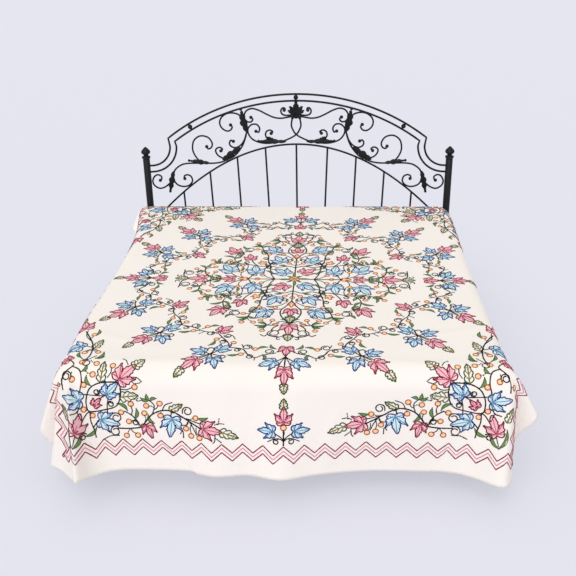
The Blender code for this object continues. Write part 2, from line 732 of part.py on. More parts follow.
def make_headboard():
    """Posts, finials, double rail with its balls, lower arch, bars and scrollwork."""
    post_profile = ((0.0, -BED_TOP), (POST_RADIUS, -BED_TOP), (POST_RADIUS, POST_TOP), (0.0, POST_TOP))
    for name, side in (("left", -1), ("right", 1)):
        turned(f"post_{name}", post_profile, side * POST_X)
        turned(f"finial_{name}", FINIAL_PROFILE, side * POST_X)
    rail_end = POST_X - POST_RADIUS - SEAT_GAP
    rail_low = BED_TOP + HEAD_RAIL_TOP - HEAD_RAIL_SIZE
    make_box("head_rail", (-rail_end, HEAD_Y - HEAD_RAIL_SIZE / 2, rail_low),
             (rail_end, HEAD_Y + HEAD_RAIL_SIZE / 2, BED_TOP + HEAD_RAIL_TOP), IRON)
    for name, inset in (("outer_rail", 0.0), ("inner_rail", RAIL_SPACING)):
        add_object(name, tube_mesh(name, whole(outer_rail_path(inset)), RAIL_TUBE, RAIL_SIDES), IRON)
    add_object("lower_arch", tube_mesh("lower_arch", arch_path(), ARCH_TUBE, RAIL_SIDES), IRON)

    make_rail_balls()
    make_bars()
    make_scrollwork()


clear_scene()
make_bedspread()
make_bed_base()
make_headboard()
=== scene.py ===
"""Looks of an embroidered bedspread on an iron bed.

The cloth and the ironwork are made finely in the places of their solids. The embroidery is laid
out on the flat cloth from short tables of motifs, one part of the pattern each. Geometry Nodes sew
its lines stitch by stitch, and the finished needlework is then laid on the folds of the sheet.
Lengths are metres and angles degrees, but the tables of motifs and of the headboard's scrolls are
in millimetres. Pattern coordinates run from the middle of the medallion, x to the right and y
towards the headboard. Heights in the scrolls' tables are above the bed top.
"""

import logging
import math
from dataclasses import dataclass, field
from enum import Enum
from typing import Iterable, Sequence

import bmesh
import bpy
import numpy as np
from mathutils import Matrix, Vector


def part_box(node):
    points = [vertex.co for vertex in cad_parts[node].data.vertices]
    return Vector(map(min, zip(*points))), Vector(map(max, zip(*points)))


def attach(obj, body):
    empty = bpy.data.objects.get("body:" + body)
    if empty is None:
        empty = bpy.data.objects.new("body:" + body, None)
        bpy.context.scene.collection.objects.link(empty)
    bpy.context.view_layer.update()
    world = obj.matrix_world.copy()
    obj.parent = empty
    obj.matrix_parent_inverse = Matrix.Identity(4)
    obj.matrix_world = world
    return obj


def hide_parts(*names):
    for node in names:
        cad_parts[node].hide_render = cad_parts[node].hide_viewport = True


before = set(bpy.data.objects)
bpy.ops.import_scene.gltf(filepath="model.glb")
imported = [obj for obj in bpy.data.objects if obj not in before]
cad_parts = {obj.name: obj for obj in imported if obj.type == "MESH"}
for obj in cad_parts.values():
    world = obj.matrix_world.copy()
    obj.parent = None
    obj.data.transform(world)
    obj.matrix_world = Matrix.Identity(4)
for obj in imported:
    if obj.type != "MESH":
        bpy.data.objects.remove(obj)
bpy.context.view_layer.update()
LOG = logging.getLogger("bedspread")
Colour = tuple[float, float, float]
Faces = list[tuple[int, ...]]
Array = np.ndarray
Material = bpy.types.Material
Mesh = bpy.types.Mesh
Object = bpy.types.Object
Socket = bpy.types.NodeSocket

BED_TOP = 0.600
HEAD_Y = 1.060
TINY = 1e-9


def metres(*millimetres: float | Sequence[float]) -> Array:
    """Lengths or points of the tables, which are in millimetres."""
    return np.array(millimetres, float) / 1000.0


def rgb(code: str) -> Colour:
    """Linear colour of a web colour code.

    Args:
        code: Six hexadecimal digits.

    Returns:
        Red, green and blue from 0 to 1, in linear light.
    """
    parts = [int(code[index:index + 2], 16) / 255 for index in (0, 2, 4)]
    red, green, blue = (part / 12.92 if part <= 0.04045 else ((part + 0.055) / 1.055) ** 2.4
                        for part in parts)
    return red, green, blue


def smooth_values(keys: Sequence[float], values: Sequence[float], at: Array) -> Array:
    """Read a smooth curve through a table, level beyond its ends.

    Args:
        keys: Rising places of the table's rows.
        values: The value at each place.
        at: Places to read.

    Returns:
        The curve's values there.
    """
    place, level = np.asarray(keys, float), np.asarray(values, float)
    slope = np.gradient(level, place)
    slope[1:-1] = (level[2:] - level[:-2]) / (place[2:] - place[:-2])
    where = np.clip(at, place[0], place[-1])
    first = np.clip(np.searchsorted(place, where, side="right") - 1, 0, len(place) - 2)
    span = place[first + 1] - place[first]
    t = (where - place[first]) / span
    start = (2 * t**3 - 3 * t**2 + 1) * level[first] + (t**3 - 2 * t**2 + t) * slope[first] * span
    end = (3 * t**2 - 2 * t**3) * level[first + 1] + (t**3 - t**2) * slope[first + 1] * span
    return start + end


def spline(points: Sequence[Sequence[float]], parts: int) -> Array:
    """A smooth curve through points, a Catmull-Rom spline.

    Args:
        points: The points that it passes through.
        parts: Steps between two of them.

    Returns:
        The curve's points, one a row.
    """
    given = np.asarray(points, float)
    if len(given) < 3:
        return given
    padded = np.vstack([2 * given[0] - given[1], given, 2 * given[-1] - given[-2]])
    rows = []
    for before, start, end, after in zip(padded, padded[1:], padded[2:], padded[3:]):
        for step in range(parts):
            t = step / parts
            square = (2 * before - 5 * start + 4 * end - after) * t**2
            cube = (3 * start - before - 3 * end + after) * t**3
            rows.append(0.5 * (2 * start + (end - before) * t + square + cube))
    return np.vstack([*rows, given[-1]])


def rounded(points: Array, cut: float = 0.22) -> Array:
    """Cut the corners of a closed line once, which rounds them a little.

    Args:
        points: The line's corners, one a row.
        cut: The part of each side that a corner takes.

    Returns:
        Twice as many points.
    """
    following = np.roll(points, -1, axis=0)
    kept = 1.0 - cut
    pairs = np.stack([kept * points + cut * following, cut * points + kept * following], axis=1)
    return pairs.reshape(-1, points.shape[1])


class Board:
    """A node tree, with short calls to add and join its nodes."""

    def __init__(self, tree: bpy.types.NodeTree) -> None:
        """Take up a tree."""
        self.tree = tree

    def add(self, kind: str, links: dict[str | int, Socket] | None = None,
            values: dict[str | int, object] | None = None, **options: object) -> bpy.types.Node:
        """Add a node.

        Args:
            kind: Blender's name for the node's type.
            links: Input names and the outputs that feed them.
            values: Input names and their plain values.
            options: The node's own settings.

        Returns:
            The new node.
        """
        node = self.tree.nodes.new(kind)
        for name, value in options.items():
            setattr(node, name, value)
        for name, value in (values or {}).items():
            node.inputs[name].default_value = value
        for name, output in (links or {}).items():
            self.tree.links.new(output, node.inputs[name])
        return node

    def sum(self, first: Socket, second: Socket, operation: str = "ADD") -> Socket:
        """Join two numbers by a sum or another operation."""
        return self.add("ShaderNodeMath", {0: first, 1: second}, operation=operation).outputs[0]


class MaterialBoard(Board):
    """A new material's node tree, round one Principled shader."""

    def __init__(self, name: str) -> None:
        """Start the material with its name.

        Args:
            name: The material's name.
        """
        self.material = bpy.data.materials.new(name)
        self.material.use_nodes = True
        super().__init__(self.material.node_tree)
        self.shader = self.tree.nodes["Principled BSDF"]

    def mixed(self, *shares: tuple[Socket, float]) -> Socket:
        """The sum of numbers, each times its share.

        Args:
            shares: Each number and its share.

        Returns:
            The sum.
        """
        parts = [self.add("ShaderNodeMath", {0: value}, {1: share}, operation="MULTIPLY").outputs[0]
                 for value, share in shares]
        total = parts[0]
        for part in parts[1:]:
            total = self.sum(total, part)
        return total

    def sine(self, value: Socket, factor: float) -> Socket:
        """The sine of a number times a factor."""
        return self.add("ShaderNodeMath", {0: self.mixed((value, factor))}, operation="SINE").outputs[0]

    def spread(self, value: Socket, **limits: float) -> Socket:
        """A number moved to another range, by the range's limits, with underscores for spaces."""
        named = {name.replace("_", " "): limit for name, limit in limits.items()}
        return self.add("ShaderNodeMapRange", {"Value": value}, named).outputs["Result"]

    def blend(self, amount: Socket, low: Colour, high: Colour) -> Socket:
        """A colour between two, by a number from 0 to 1.

        Args:
            amount: The number.
            low: The colour at 0.
            high: The colour at 1.

        Returns:
            The colour.
        """
        ramp = self.add("ShaderNodeValToRGB", {"Fac": amount})
        ramp.color_ramp.elements[0].color = (*low, 1.0)
        ramp.color_ramp.elements[1].color = (*high, 1.0)
        return ramp.outputs["Color"]

    def place(self) -> Socket:
        """Places on the piece, in metres."""
        return self.add("ShaderNodeTexCoord").outputs["Object"]

    def noise(self, place: Socket, scale: float, detail: float = 2.0) -> Socket:
        """A cloudy number at a place."""
        values = {"Scale": scale, "Detail": detail}
        return self.add("ShaderNodeTexNoise", {"Vector": place}, values).outputs["Fac"]

    def bump(self, height: Socket, strength: float, distance: float) -> None:
        """Raise the surface by a height."""
        bump = self.add("ShaderNodeBump", {"Height": height}, {"Strength": strength, "Distance": distance})
        self.tree.links.new(bump.outputs["Normal"], self.shader.inputs["Normal"])

    def finish(self, colour: Socket, roughness: Socket | None = None,
               **plain: float | Colour) -> Material:
        """Feed the shader.

        Args:
            colour: Output for the base colour.
            roughness: Output for the roughness.
            plain: Plain values of other inputs, with underscores for spaces.

        Returns:
            The finished material.
        """
        self.tree.links.new(colour, self.shader.inputs["Base Color"])
        if roughness is not None:
            self.tree.links.new(roughness, self.shader.inputs["Roughness"])
        for name, value in plain.items():
            socket = self.shader.inputs[name.replace("_", " ")]
            socket.default_value = (*value, 1.0) if isinstance(value, tuple) else value
        return self.material


@dataclass(frozen=True)
class CottonFinish:
    """Plain-woven heavy cotton on the cloth's own flat coordinates, in metres."""

    colour: Colour = rgb("F7F1EB")
    shade: Colour = rgb("F2EAE2")
    thread: float = 0.0016
    weave_depth: float = 0.00022
    crumple_depth: float = 0.0012
    slub_stretch: tuple[float, float, float] = (18.0, 260.0, 1.0)

    def material(self) -> Material:
        """The cotton's material.

        Returns:
            The finished material.
        """
        board = MaterialBoard("cream_cotton")
        flat = board.add("ShaderNodeUVMap", uv_map="flat").outputs["UV"]
        axes = board.add("ShaderNodeSeparateXYZ", {"Vector": flat})
        ribs = [board.sine(axes.outputs[axis], math.pi / self.thread) for axis in ("X", "Y")]
        weave = board.sum(*ribs, "MULTIPLY")
        slub = board.add("ShaderNodeMapping", {"Vector": flat}, {"Scale": self.slub_stretch})
        slubs = board.noise(slub.outputs["Vector"], scale=1.0)
        drift = board.noise(flat, scale=2.5, detail=4.0)
        crumple = board.noise(flat, scale=9.0, detail=3.0)
        height = board.mixed((weave, self.weave_depth), (slubs, 0.5 * self.weave_depth),
                             (crumple, self.crumple_depth))
        board.bump(height, strength=0.9, distance=1.0)
        tone = board.mixed((drift, 0.6), (slubs, 0.4))
        return board.finish(board.blend(tone, self.shade, self.colour), Roughness=0.88, Sheen_Weight=0.05,
                            Sheen_Roughness=0.5, Specular_IOR_Level=0.15)


class Wool(Enum):
    """Embroidery wools, by their web colour codes: full colour and shaded colour."""

    WINE = ("8A1C38", "66122C")
    ROSE = ("CE6880", "B64A64")
    BLUSH = ("F6C8CE", "EDAEB9")
    NAVY = ("203E84", "142C66")
    SKY = ("76A2CC", "5684BA")
    AQUA = ("DCF0EE", "C6E4E6")
    BARK = ("221B1E", "130F11")
    FOREST = ("345C38", "203E26")
    OLIVE = ("8E8530", "6A621F")
    SAGE = ("829C5C", "627E46")
    PEACH = ("FDD8AC", "FBC68E")
    RUST = ("BA6430", "96481E")
    BORDER_WINE = ("8E2240", "6C1830")
    BORDER_ROSE = ("E7A0AD", "D88494")
    CREAM = ("F4ECE2", "E2D8CA")

    def material(self) -> Material:
        """Wool whose shade drifts from stitch to stitch, with a soft nap.

        Returns:
            The finished material.
        """
        board = MaterialBoard(f"{self.name.lower()}_wool")
        place = board.place()
        tone = board.add("ShaderNodeAttribute", attribute_name="tone").outputs["Fac"]
        fibre = board.noise(place, scale=900.0)
        drift = board.noise(place, scale=14.0)
        shade = board.mixed((tone, 0.4), (fibre, 0.35), (drift, 0.35))
        board.bump(fibre, strength=0.5, distance=0.0006)
        full, shaded = self.value
        return board.finish(board.blend(shade, rgb(shaded), rgb(full)), Roughness=0.86, Sheen_Weight=0.06,
                            Sheen_Roughness=0.5, Specular_IOR_Level=0.15)


@dataclass(frozen=True)
class IronFinish:
    """Black satin paint over forged iron, a little worn and grey where it stands proud."""

    colour: Colour = (0.006, 0.006, 0.009)
    worn: Colour = (0.020, 0.019, 0.022)

    def material(self) -> Material:
        """The iron's material.

        Returns:
            The finished material.
        """
        board = MaterialBoard("black_iron")
        place = board.place()
        edge = board.add("ShaderNodeNewGeometry").outputs["Pointiness"]
        patches = board.noise(place, scale=24.0, detail=4.0)
        wear = board.sum(board.spread(edge, From_Min=0.52, From_Max=0.62), patches, "MULTIPLY")
        board.bump(board.noise(place, scale=160.0), strength=0.25, distance=0.0012)
        gloss = board.spread(patches, To_Min=0.30, To_Max=0.52)
        return board.finish(board.blend(wear, self.colour, self.worn), gloss, Metallic=0.0,
                            Specular_IOR_Level=0.22)


@dataclass(frozen=True)
class TickingFinish:
    """Mattress ticking: off-white twill with fine woven stripes."""

    name: str = "mattress_ticking"
    colour: Colour = rgb("E9E7E2")
    stripe: Colour = rgb("C9CCD2")
    pitch: float = 0.030

    def material(self) -> Material:
        """The ticking's material.

        Returns:
            The finished material.
        """
        board = MaterialBoard(self.name)
        place = board.place()
        axes = board.add("ShaderNodeSeparateXYZ", {"Vector": place})
        run = board.sum(axes.outputs["X"], axes.outputs["Y"])
        line = board.spread(board.sine(run, 2 * math.pi / self.pitch), From_Min=0.90, From_Max=0.99)
        grime = board.noise(place, scale=5.0, detail=3.0)
        board.bump(board.noise(place, scale=420.0), strength=0.35, distance=0.0008)
        tone = board.mixed((line, 0.8), (grime, 0.2))
        return board.finish(board.blend(tone, self.colour, self.stripe), Roughness=0.9, Sheen_Weight=0.15,
                            Specular_IOR_Level=0.2)


@dataclass(frozen=True)
class StageFinish:
    """Pale seamless floor, lit a little from within like a light table, so that shadows stay faint."""

    colour: Colour = (0.333, 0.333, 0.370)
    glow: Colour = (0.427, 0.427, 0.475)

    def material(self) -> Material:
        """The floor's material.

        Returns:
            The finished material.
        """
        board = MaterialBoard("pale_floor")
        cloud = board.noise(board.place(), scale=0.6)
        lighter = tuple(part * 1.005 for part in self.colour)
        return board.finish(board.blend(cloud, self.colour, lighter), Roughness=0.95,
                            Specular_IOR_Level=0.1, Emission_Color=self.glow, Emission_Strength=1.0)


def link_mesh(name: str, mesh: Mesh, material: Material, smooth: float = 40.0) -> Object:
    """Put a mesh in the scene as one piece.

    Args:
        name: The piece's name.
        mesh: Its mesh, in place.
        material: Its finish.
        smooth: Edges sharper than this stay sharp, in degrees.

    Returns:
        The piece's object.
    """
    mesh.name = name
    piece = bpy.data.objects.new(name, mesh)
    bpy.context.scene.collection.objects.link(piece)
    mesh.materials.clear()
    mesh.materials.append(material)
    mesh.polygons.foreach_set("use_smooth", [True] * len(mesh.polygons))
    mesh.set_sharp_from_angle(angle=math.radians(smooth))
    return piece


def mesh_of(points: Array, faces: Iterable[Sequence[int]], outwards: bool = True,
            weld: float = 0.0) -> Mesh:
    """A mesh of points and faces.

    Args:
        points: Points, one a row.
        faces: Corner numbers of each face.
        outwards: Whether to turn the faces outwards.
        weld: Points nearer than this become one first.

    Returns:
        The mesh.
    """
    mesh = bpy.data.meshes.new("piece")
    mesh.from_pydata(np.asarray(points, float).tolist(), [], [tuple(map(int, face)) for face in faces])
    if outwards:
        work = bmesh.new()
        work.from_mesh(mesh)
        if weld:
            bmesh.ops.remove_doubles(work, verts=work.verts, dist=weld)
        bmesh.ops.recalc_face_normals(work, faces=work.faces)
        work.to_mesh(mesh)
        work.free()
    mesh.update()
    return mesh


def gathered(parts: Iterable[tuple[Array, Iterable[Sequence[int]]]], weld: float = 0.0) -> Mesh:
    """One mesh of several parts' points and faces, welded within a distance.

    Args:
        parts: Points and faces of each part.
        weld: Points nearer than this become one.

    Returns:
        The mesh.
    """
    points, faces, count = [], [], 0
    for spots, corners in parts:
        points.append(spots)
        faces += [tuple(count + corner for corner in face) for face in corners]
        count += len(spots)
    return mesh_of(np.vstack(points), faces, weld=weld)


def joined(first: Mesh, second: Mesh) -> Mesh:
    """Add a second mesh to a first.

    Args:
        first: The mesh that grows.
        second: The mesh that it takes in.

    Returns:
        The first mesh.
    """
    work = bmesh.new()
    work.from_mesh(first)
    work.from_mesh(second)
    work.to_mesh(first)
    work.free()
    return first


def grid_faces(rows: int, columns: int) -> Array:
    """Faces of a grid whose points are numbered row after row."""
    number = np.arange(rows * columns).reshape(rows, columns)
    return np.stack([number[:-1, :-1], number[:-1, 1:], number[1:, 1:], number[1:, :-1]],
                    axis=-1).reshape(-1, 4)


def ring_faces(rings: int, count: int, foot: int, top: int) -> Faces:
    """Faces of a form of closed rings whose points are numbered ring after ring.

    Args:
        rings: How many rings there are.
        count: Points in a ring.
        foot: Number of the point that closes the first ring.
        top: Number of the point that closes the last ring.

    Returns:
        The faces' corner numbers.
    """
    faces, last = [], (rings - 1) * count
    for index in range(count):
        following = (index + 1) % count
        for low in range(0, last, count):
            high = low + count
            faces.append((low + index, low + following, high + following, high + index))
        faces.append((following, index, foot))
        faces.append((last + index, last + following, top))
    return faces


def settled(piece: Object) -> Mesh:
    """The mesh of a piece with its modifiers made permanent.

    Args:
        piece: The piece, which loses its modifiers.

    Returns:
        The new mesh.
    """
    graph = bpy.context.evaluated_depsgraph_get()
    mesh = bpy.data.meshes.new_from_object(piece.evaluated_get(graph), preserve_all_data_layers=True,
                                           depsgraph=graph)
    piece.modifiers.clear()
    return mesh


@dataclass(frozen=True)
class Line:
    """A line to sew or forge along, with its width as a part of the usual one."""

    points: Array
    wide: float | Array = 1.0
    closed: bool = False


class LineTree(Board):
    """A Geometry Nodes tree with named inputs that works on a mesh of lines."""

    def __init__(self, name: str, inputs: dict[str, str]) -> None:
        """Start the tree.

        Args:
            name: The tree's name.
            inputs: The kind of each named input beside the lines.
        """
        super().__init__(bpy.data.node_groups.new(name, "GeometryNodeTree"))
        self.sockets: dict[str, str] = {}
        interface = self.tree.interface
        for label, kind in {"Geometry": "Geometry", **inputs}.items():
            socket = interface.new_socket(label, in_out="INPUT", socket_type=f"NodeSocket{kind}")
            self.sockets[label] = socket.identifier
        interface.new_socket("Geometry", in_out="OUTPUT", socket_type="NodeSocketGeometry")
        self.given = self.add("NodeGroupInput").outputs
        self.wide = self.add("GeometryNodeInputNamedAttribute", values={"Name": "wide"},
                             data_type="FLOAT").outputs["Attribute"]
        self.curve = self.add("GeometryNodeMeshToCurve", {"Mesh": self.given["Geometry"]}).outputs["Curve"]

    def close(self, geometry: Socket, material: Socket) -> None:
        """Make what the tree repeats real, dress it and hand it out.

        Args:
            geometry: What the tree has made.
            material: Its finish.
        """
        real = self.add("GeometryNodeRealizeInstances", {"Geometry": geometry}).outputs["Geometry"]
        dress = self.add("GeometryNodeSetMaterial", {"Geometry": real, "Material": material})
        self.add("NodeGroupOutput", {"Geometry": dress.outputs["Geometry"]})

    def run(self, lines: Sequence[Line], **values: object) -> Mesh:
        """Run the tree on lines.

        Args:
            lines: The lines.
            values: Values of the tree's named inputs.

        Returns:
            The mesh that it makes of them.
        """
        edges, widths, count = [], [], 0
        for line in lines:
            size = len(line.points)
            edges += [(count + index, count + index + 1) for index in range(size - 1)]
            if line.closed:
                edges.append((count + size - 1, count))
            widths.append(np.broadcast_to(line.wide, size))
            count += size
        mesh = bpy.data.meshes.new("lines")
        mesh.from_pydata(np.vstack([line.points for line in lines]).tolist(), edges, [])
        mesh.attributes.new("wide", "FLOAT", "POINT").data.foreach_set("value", np.concatenate(widths))
        carrier = bpy.data.objects.new("lines", mesh)
        bpy.context.scene.collection.objects.link(carrier)
        modifier = carrier.modifiers.new("Lines", "NODES")
        modifier.node_group = self.tree
        for name, value in values.items():
            modifier[self.sockets[name]] = value
        made = settled(carrier)
        bpy.data.objects.remove(carrier, do_unlink=True)
        return made


@dataclass(frozen=True)
class Rays:
    """Rays of cloth round a mattress corner, a row of (angle, outward, endward) each, in degrees."""

    rows: tuple[tuple[float, float, float], ...]

    def first(self) -> float:
        """Angle of the first ray."""
        return self.rows[0][0]

    def last(self) -> float:
        """Angle of the last ray."""
        return self.rows[-1][0]

    def direction(self, angle: Array) -> Array:
        """Unit directions (outward, endward, down) at angles of the flat cloth."""
        angles, outward, endward = zip(*self.rows)
        return hanging(smooth_values(angles, outward, angle), smooth_values(angles, endward, angle))


def hanging(outward: Array, endward: Array) -> Array:
    """Unit directions of hanging cloth that leans by these angles from straight down."""
    lean = np.stack([np.tan(np.radians(outward)), np.tan(np.radians(endward)),
                     np.ones(np.shape(outward))], axis=-1)
    return lean / np.linalg.norm(lean, axis=-1, keepdims=True)


@dataclass(frozen=True)
class Drape:
    """How the sheet lies on the bed, as its solid does."""

    centre: tuple[float, float] = (0.028, -0.060)
    turn: float = 0.56
    side_radius: float = 0.050
    foot_radius: float = 0.085
    head_radius: float = 0.045
    foot_limit: float = 0.905
    head_limit: float = 0.985
    corner_end: float = -1.06
    side_flare: float = 8.0
    foot_flare: float = 8.0
    wave_depth: float = 0.42
    limits: tuple[tuple[float, float, float], ...] = (
        (-1.06, 0.894, 0.955), (-0.905, 0.892, 0.920), (-0.50, 0.896, 0.904), (-0.10, 0.880, 0.897),
        (0.30, 0.873, 0.892), (0.60, 0.884, 0.894), (0.80, 0.910, 0.890), (1.00, 0.940, 0.880))
    waves: tuple[tuple[float, float], ...] = (
        (-0.85, 0.000), (-0.42, 0.000), (-0.28, 0.035), (-0.14, 0.016), (0.00, 0.050), (0.13, 0.006),
        (0.27, -0.024), (0.42, -0.040), (0.78, -0.036), (0.96, 0.000))
    foot_left: Rays = Rays((
        (-30, 8, -30), (-16, 17, -24), (-6, 18, -15), (6, 8, -12), (16, 4, -6), (28, 11, 0), (41, 18, 5),
        (50, 19, 8), (56, 12, 4), (61, 8, -1), (66, 12, 0), (73, 4, 8), (81, -5, 23), (88, -9, 32),
        (95, -12, 20), (102, -17, 13), (110, -23.5, 10), (122, -34, 9), (135, -46, 8)))
    foot_right: Rays = Rays((
        (-30, 8, -30), (-15, 17, -23), (-5, 17, -15), (8, 8, -11), (16, 8, -5), (27, 18, 3), (37, 21, 7),
        (44, 16, 7), (53, 6, 0), (60, 2, -4), (68, 1, -3), (76, 2, 5), (86, -1.5, 16), (93, -7.5, 16),
        (100, -13, 13), (108, -20.5, 10), (120, -31, 8)))
    head: Rays = Rays((
        (-30, 8, -30), (-13, 22, -25), (-5, 23, -19), (12, 8, -14), (20, 8, -8), (34, 21, -4), (42, 21, 0),
        (57, 7, 0), (66, 4, -3), (82, 2, -2), (98, -8, 0), (112, -22, 0)))

    def over_edge(self, distance: Array, radius: Array | float) -> tuple[Array, Array]:
        """How far cloth reaches out and then down after it leaves the flat.

        Args:
            distance: How far the cloth runs past the edge of the flat.
            radius: Radius of its turn over the edge.

        Returns:
            Its reach outwards and downwards.
        """
        quarter = radius * math.pi / 2
        turn = np.clip(distance, 0, quarter) / radius
        out = radius * np.sin(turn)
        down = radius * (1 - np.cos(turn)) + np.maximum(distance - quarter, 0)
        return out, down

    def corner_rays(self, x: Array, y: Array,
                    angle: Array) -> tuple[Array, Array, Array]:
        """Rays of the nearest corner at angles round it.

        Args:
            x: Places across the bed.
            y: Places along the bed.
            angle: Angles round the corner of the flat, in degrees.

        Returns:
            The ray at each place, and the first and last angle of its corner's rays.
        """
        ray, first, last = np.zeros((len(x), 3)), np.zeros(len(x)), np.zeros(len(x))
        corners = ((self.head, y >= 0), (self.foot_left, (y < 0) & (x < 0)),
                   (self.foot_right, (y < 0) & (x >= 0)))
        for rays, here in corners:
            ray[here] = rays.direction(angle[here])
            first[here], last[here] = rays.first(), rays.last()
        return ray, first, last

    def place(self, flat: Array) -> Array:
        """Put points of the flat sheet on the bed.

        Args:
            flat: Points measured from the sheet's middle, one a row.

        Returns:
            Their places, one a row.
        """
        u, v = flat[:, 0], flat[:, 1]
        cosine, sine = math.cos(math.radians(self.turn)), math.sin(math.radians(self.turn))
        x = self.centre[0] + cosine * u + sine * v
        y = self.centre[1] - sine * u + cosine * v
        side, end = np.where(x < 0, -1.0, 1.0), np.where(y < 0, -1.0, 1.0)
        end_limit = np.where(y < 0, self.foot_limit, self.head_limit)
        end_radius = np.where(y < 0, self.foot_radius, self.head_radius)
        level_y = np.clip(y, self.corner_end, self.head_limit)
        rows, left, right = zip(*self.limits)
        side_limit = np.where(x < 0, smooth_values(rows, left, level_y), smooth_values(rows, right, level_y))
        past_side, past_end = np.abs(x) - side_limit, np.abs(y) - end_limit
        reach = np.hypot(past_side, past_end)
        angle = np.degrees(np.arctan2(past_end, past_side))
        ray, first, last = self.corner_rays(x, y, angle)

        zero = np.zeros(len(x))
        spot = np.stack([np.abs(x), np.abs(y), zero], axis=1)
        corner = (past_side > 0) & (past_end > 0)
        way = np.radians(angle)
        mix = np.sin(np.clip(way, 0, math.pi / 2)) ** 2
        out, down = self.over_edge(reach, self.side_radius + (end_radius - self.side_radius) * mix)
        bend = np.stack([side_limit + out * np.cos(way), end_limit + out * np.sin(way), zero], axis=1)
        spot[corner] = (bend + down[:, None] * ray)[corner]

        near = np.maximum(reach, TINY)[:, None]
        beside = (past_side > 0) & (past_end <= 0)
        out, down = self.over_edge(past_side, self.side_radius)
        panel = hanging(np.full(len(x), self.side_flare), zero)
        flat_ray = (past_side[:, None] * panel + past_end[:, None] * np.array([0.0, 1.0, 0.0])) / near
        fan = (down / np.where(beside, past_side, 1.0) * reach)[:, None] * (ray - flat_ray)
        fall = np.stack([side_limit + out, np.abs(y), zero], axis=1) + down[:, None] * panel
        spot[beside] = (fall + np.where((angle > first)[:, None], fan, 0.0))[beside]

        beyond = (past_side <= 0) & (past_end > 0)
        out, down = self.over_edge(past_end, end_radius)
        stations, swings = zip(*self.waves)
        swing = np.where(y < 0, smooth_values(stations, swings, x), 0.0)
        flare = np.where(y < 0, self.foot_flare, 0.0)
        panel = hanging(zero, flare)
        wavy = hanging(zero, flare + np.degrees(np.arctan(swing / self.wave_depth)))
        flat_ray = (past_end[:, None] * panel + past_side[:, None] * np.array([1.0, 0.0, 0.0])) / near
        fan = (down / np.where(beyond, past_end, 1.0) * reach)[:, None] * (ray - flat_ray)
        fall = np.stack([np.abs(x), end_limit + out, zero], axis=1) + down[:, None] * wavy
        spot[beyond] = (fall + np.where((angle < last)[:, None], fan, 0.0))[beyond]
        return np.stack([side * spot[:, 0], end * spot[:, 1], BED_TOP - spot[:, 2]], axis=1)


@dataclass(frozen=True)
class Crease:
    """A soft ridge in the cloth between two points of the flat sheet."""

    start: tuple[float, float]
    stop: tuple[float, float]
    height: float
    half_width: float
    end_share: float = 0.02
    fade_power: float = 0.7

    def rise(self, u: Array, v: Array) -> Array:
        """How far the crease lifts the cloth at points of the flat sheet.

        Args:
            u: Places across the sheet.
            v: Places along it.

        Returns:
            The rise at each.
        """
        start, stop = np.array(self.start), np.array(self.stop)
        run = stop - start
        along = np.clip(((u - start[0]) * run[0] + (v - start[1]) * run[1]) / (run @ run), 0.0, 1.0)
        away = np.hypot(u - start[0] - along * run[0], v - start[1] - along * run[1])
        inside = np.clip(along, self.end_share, 1.0 - self.end_share)
        fade = np.sin(np.pi * inside) ** self.fade_power
        return self.height * fade * np.exp(-(away / self.half_width) ** 2)


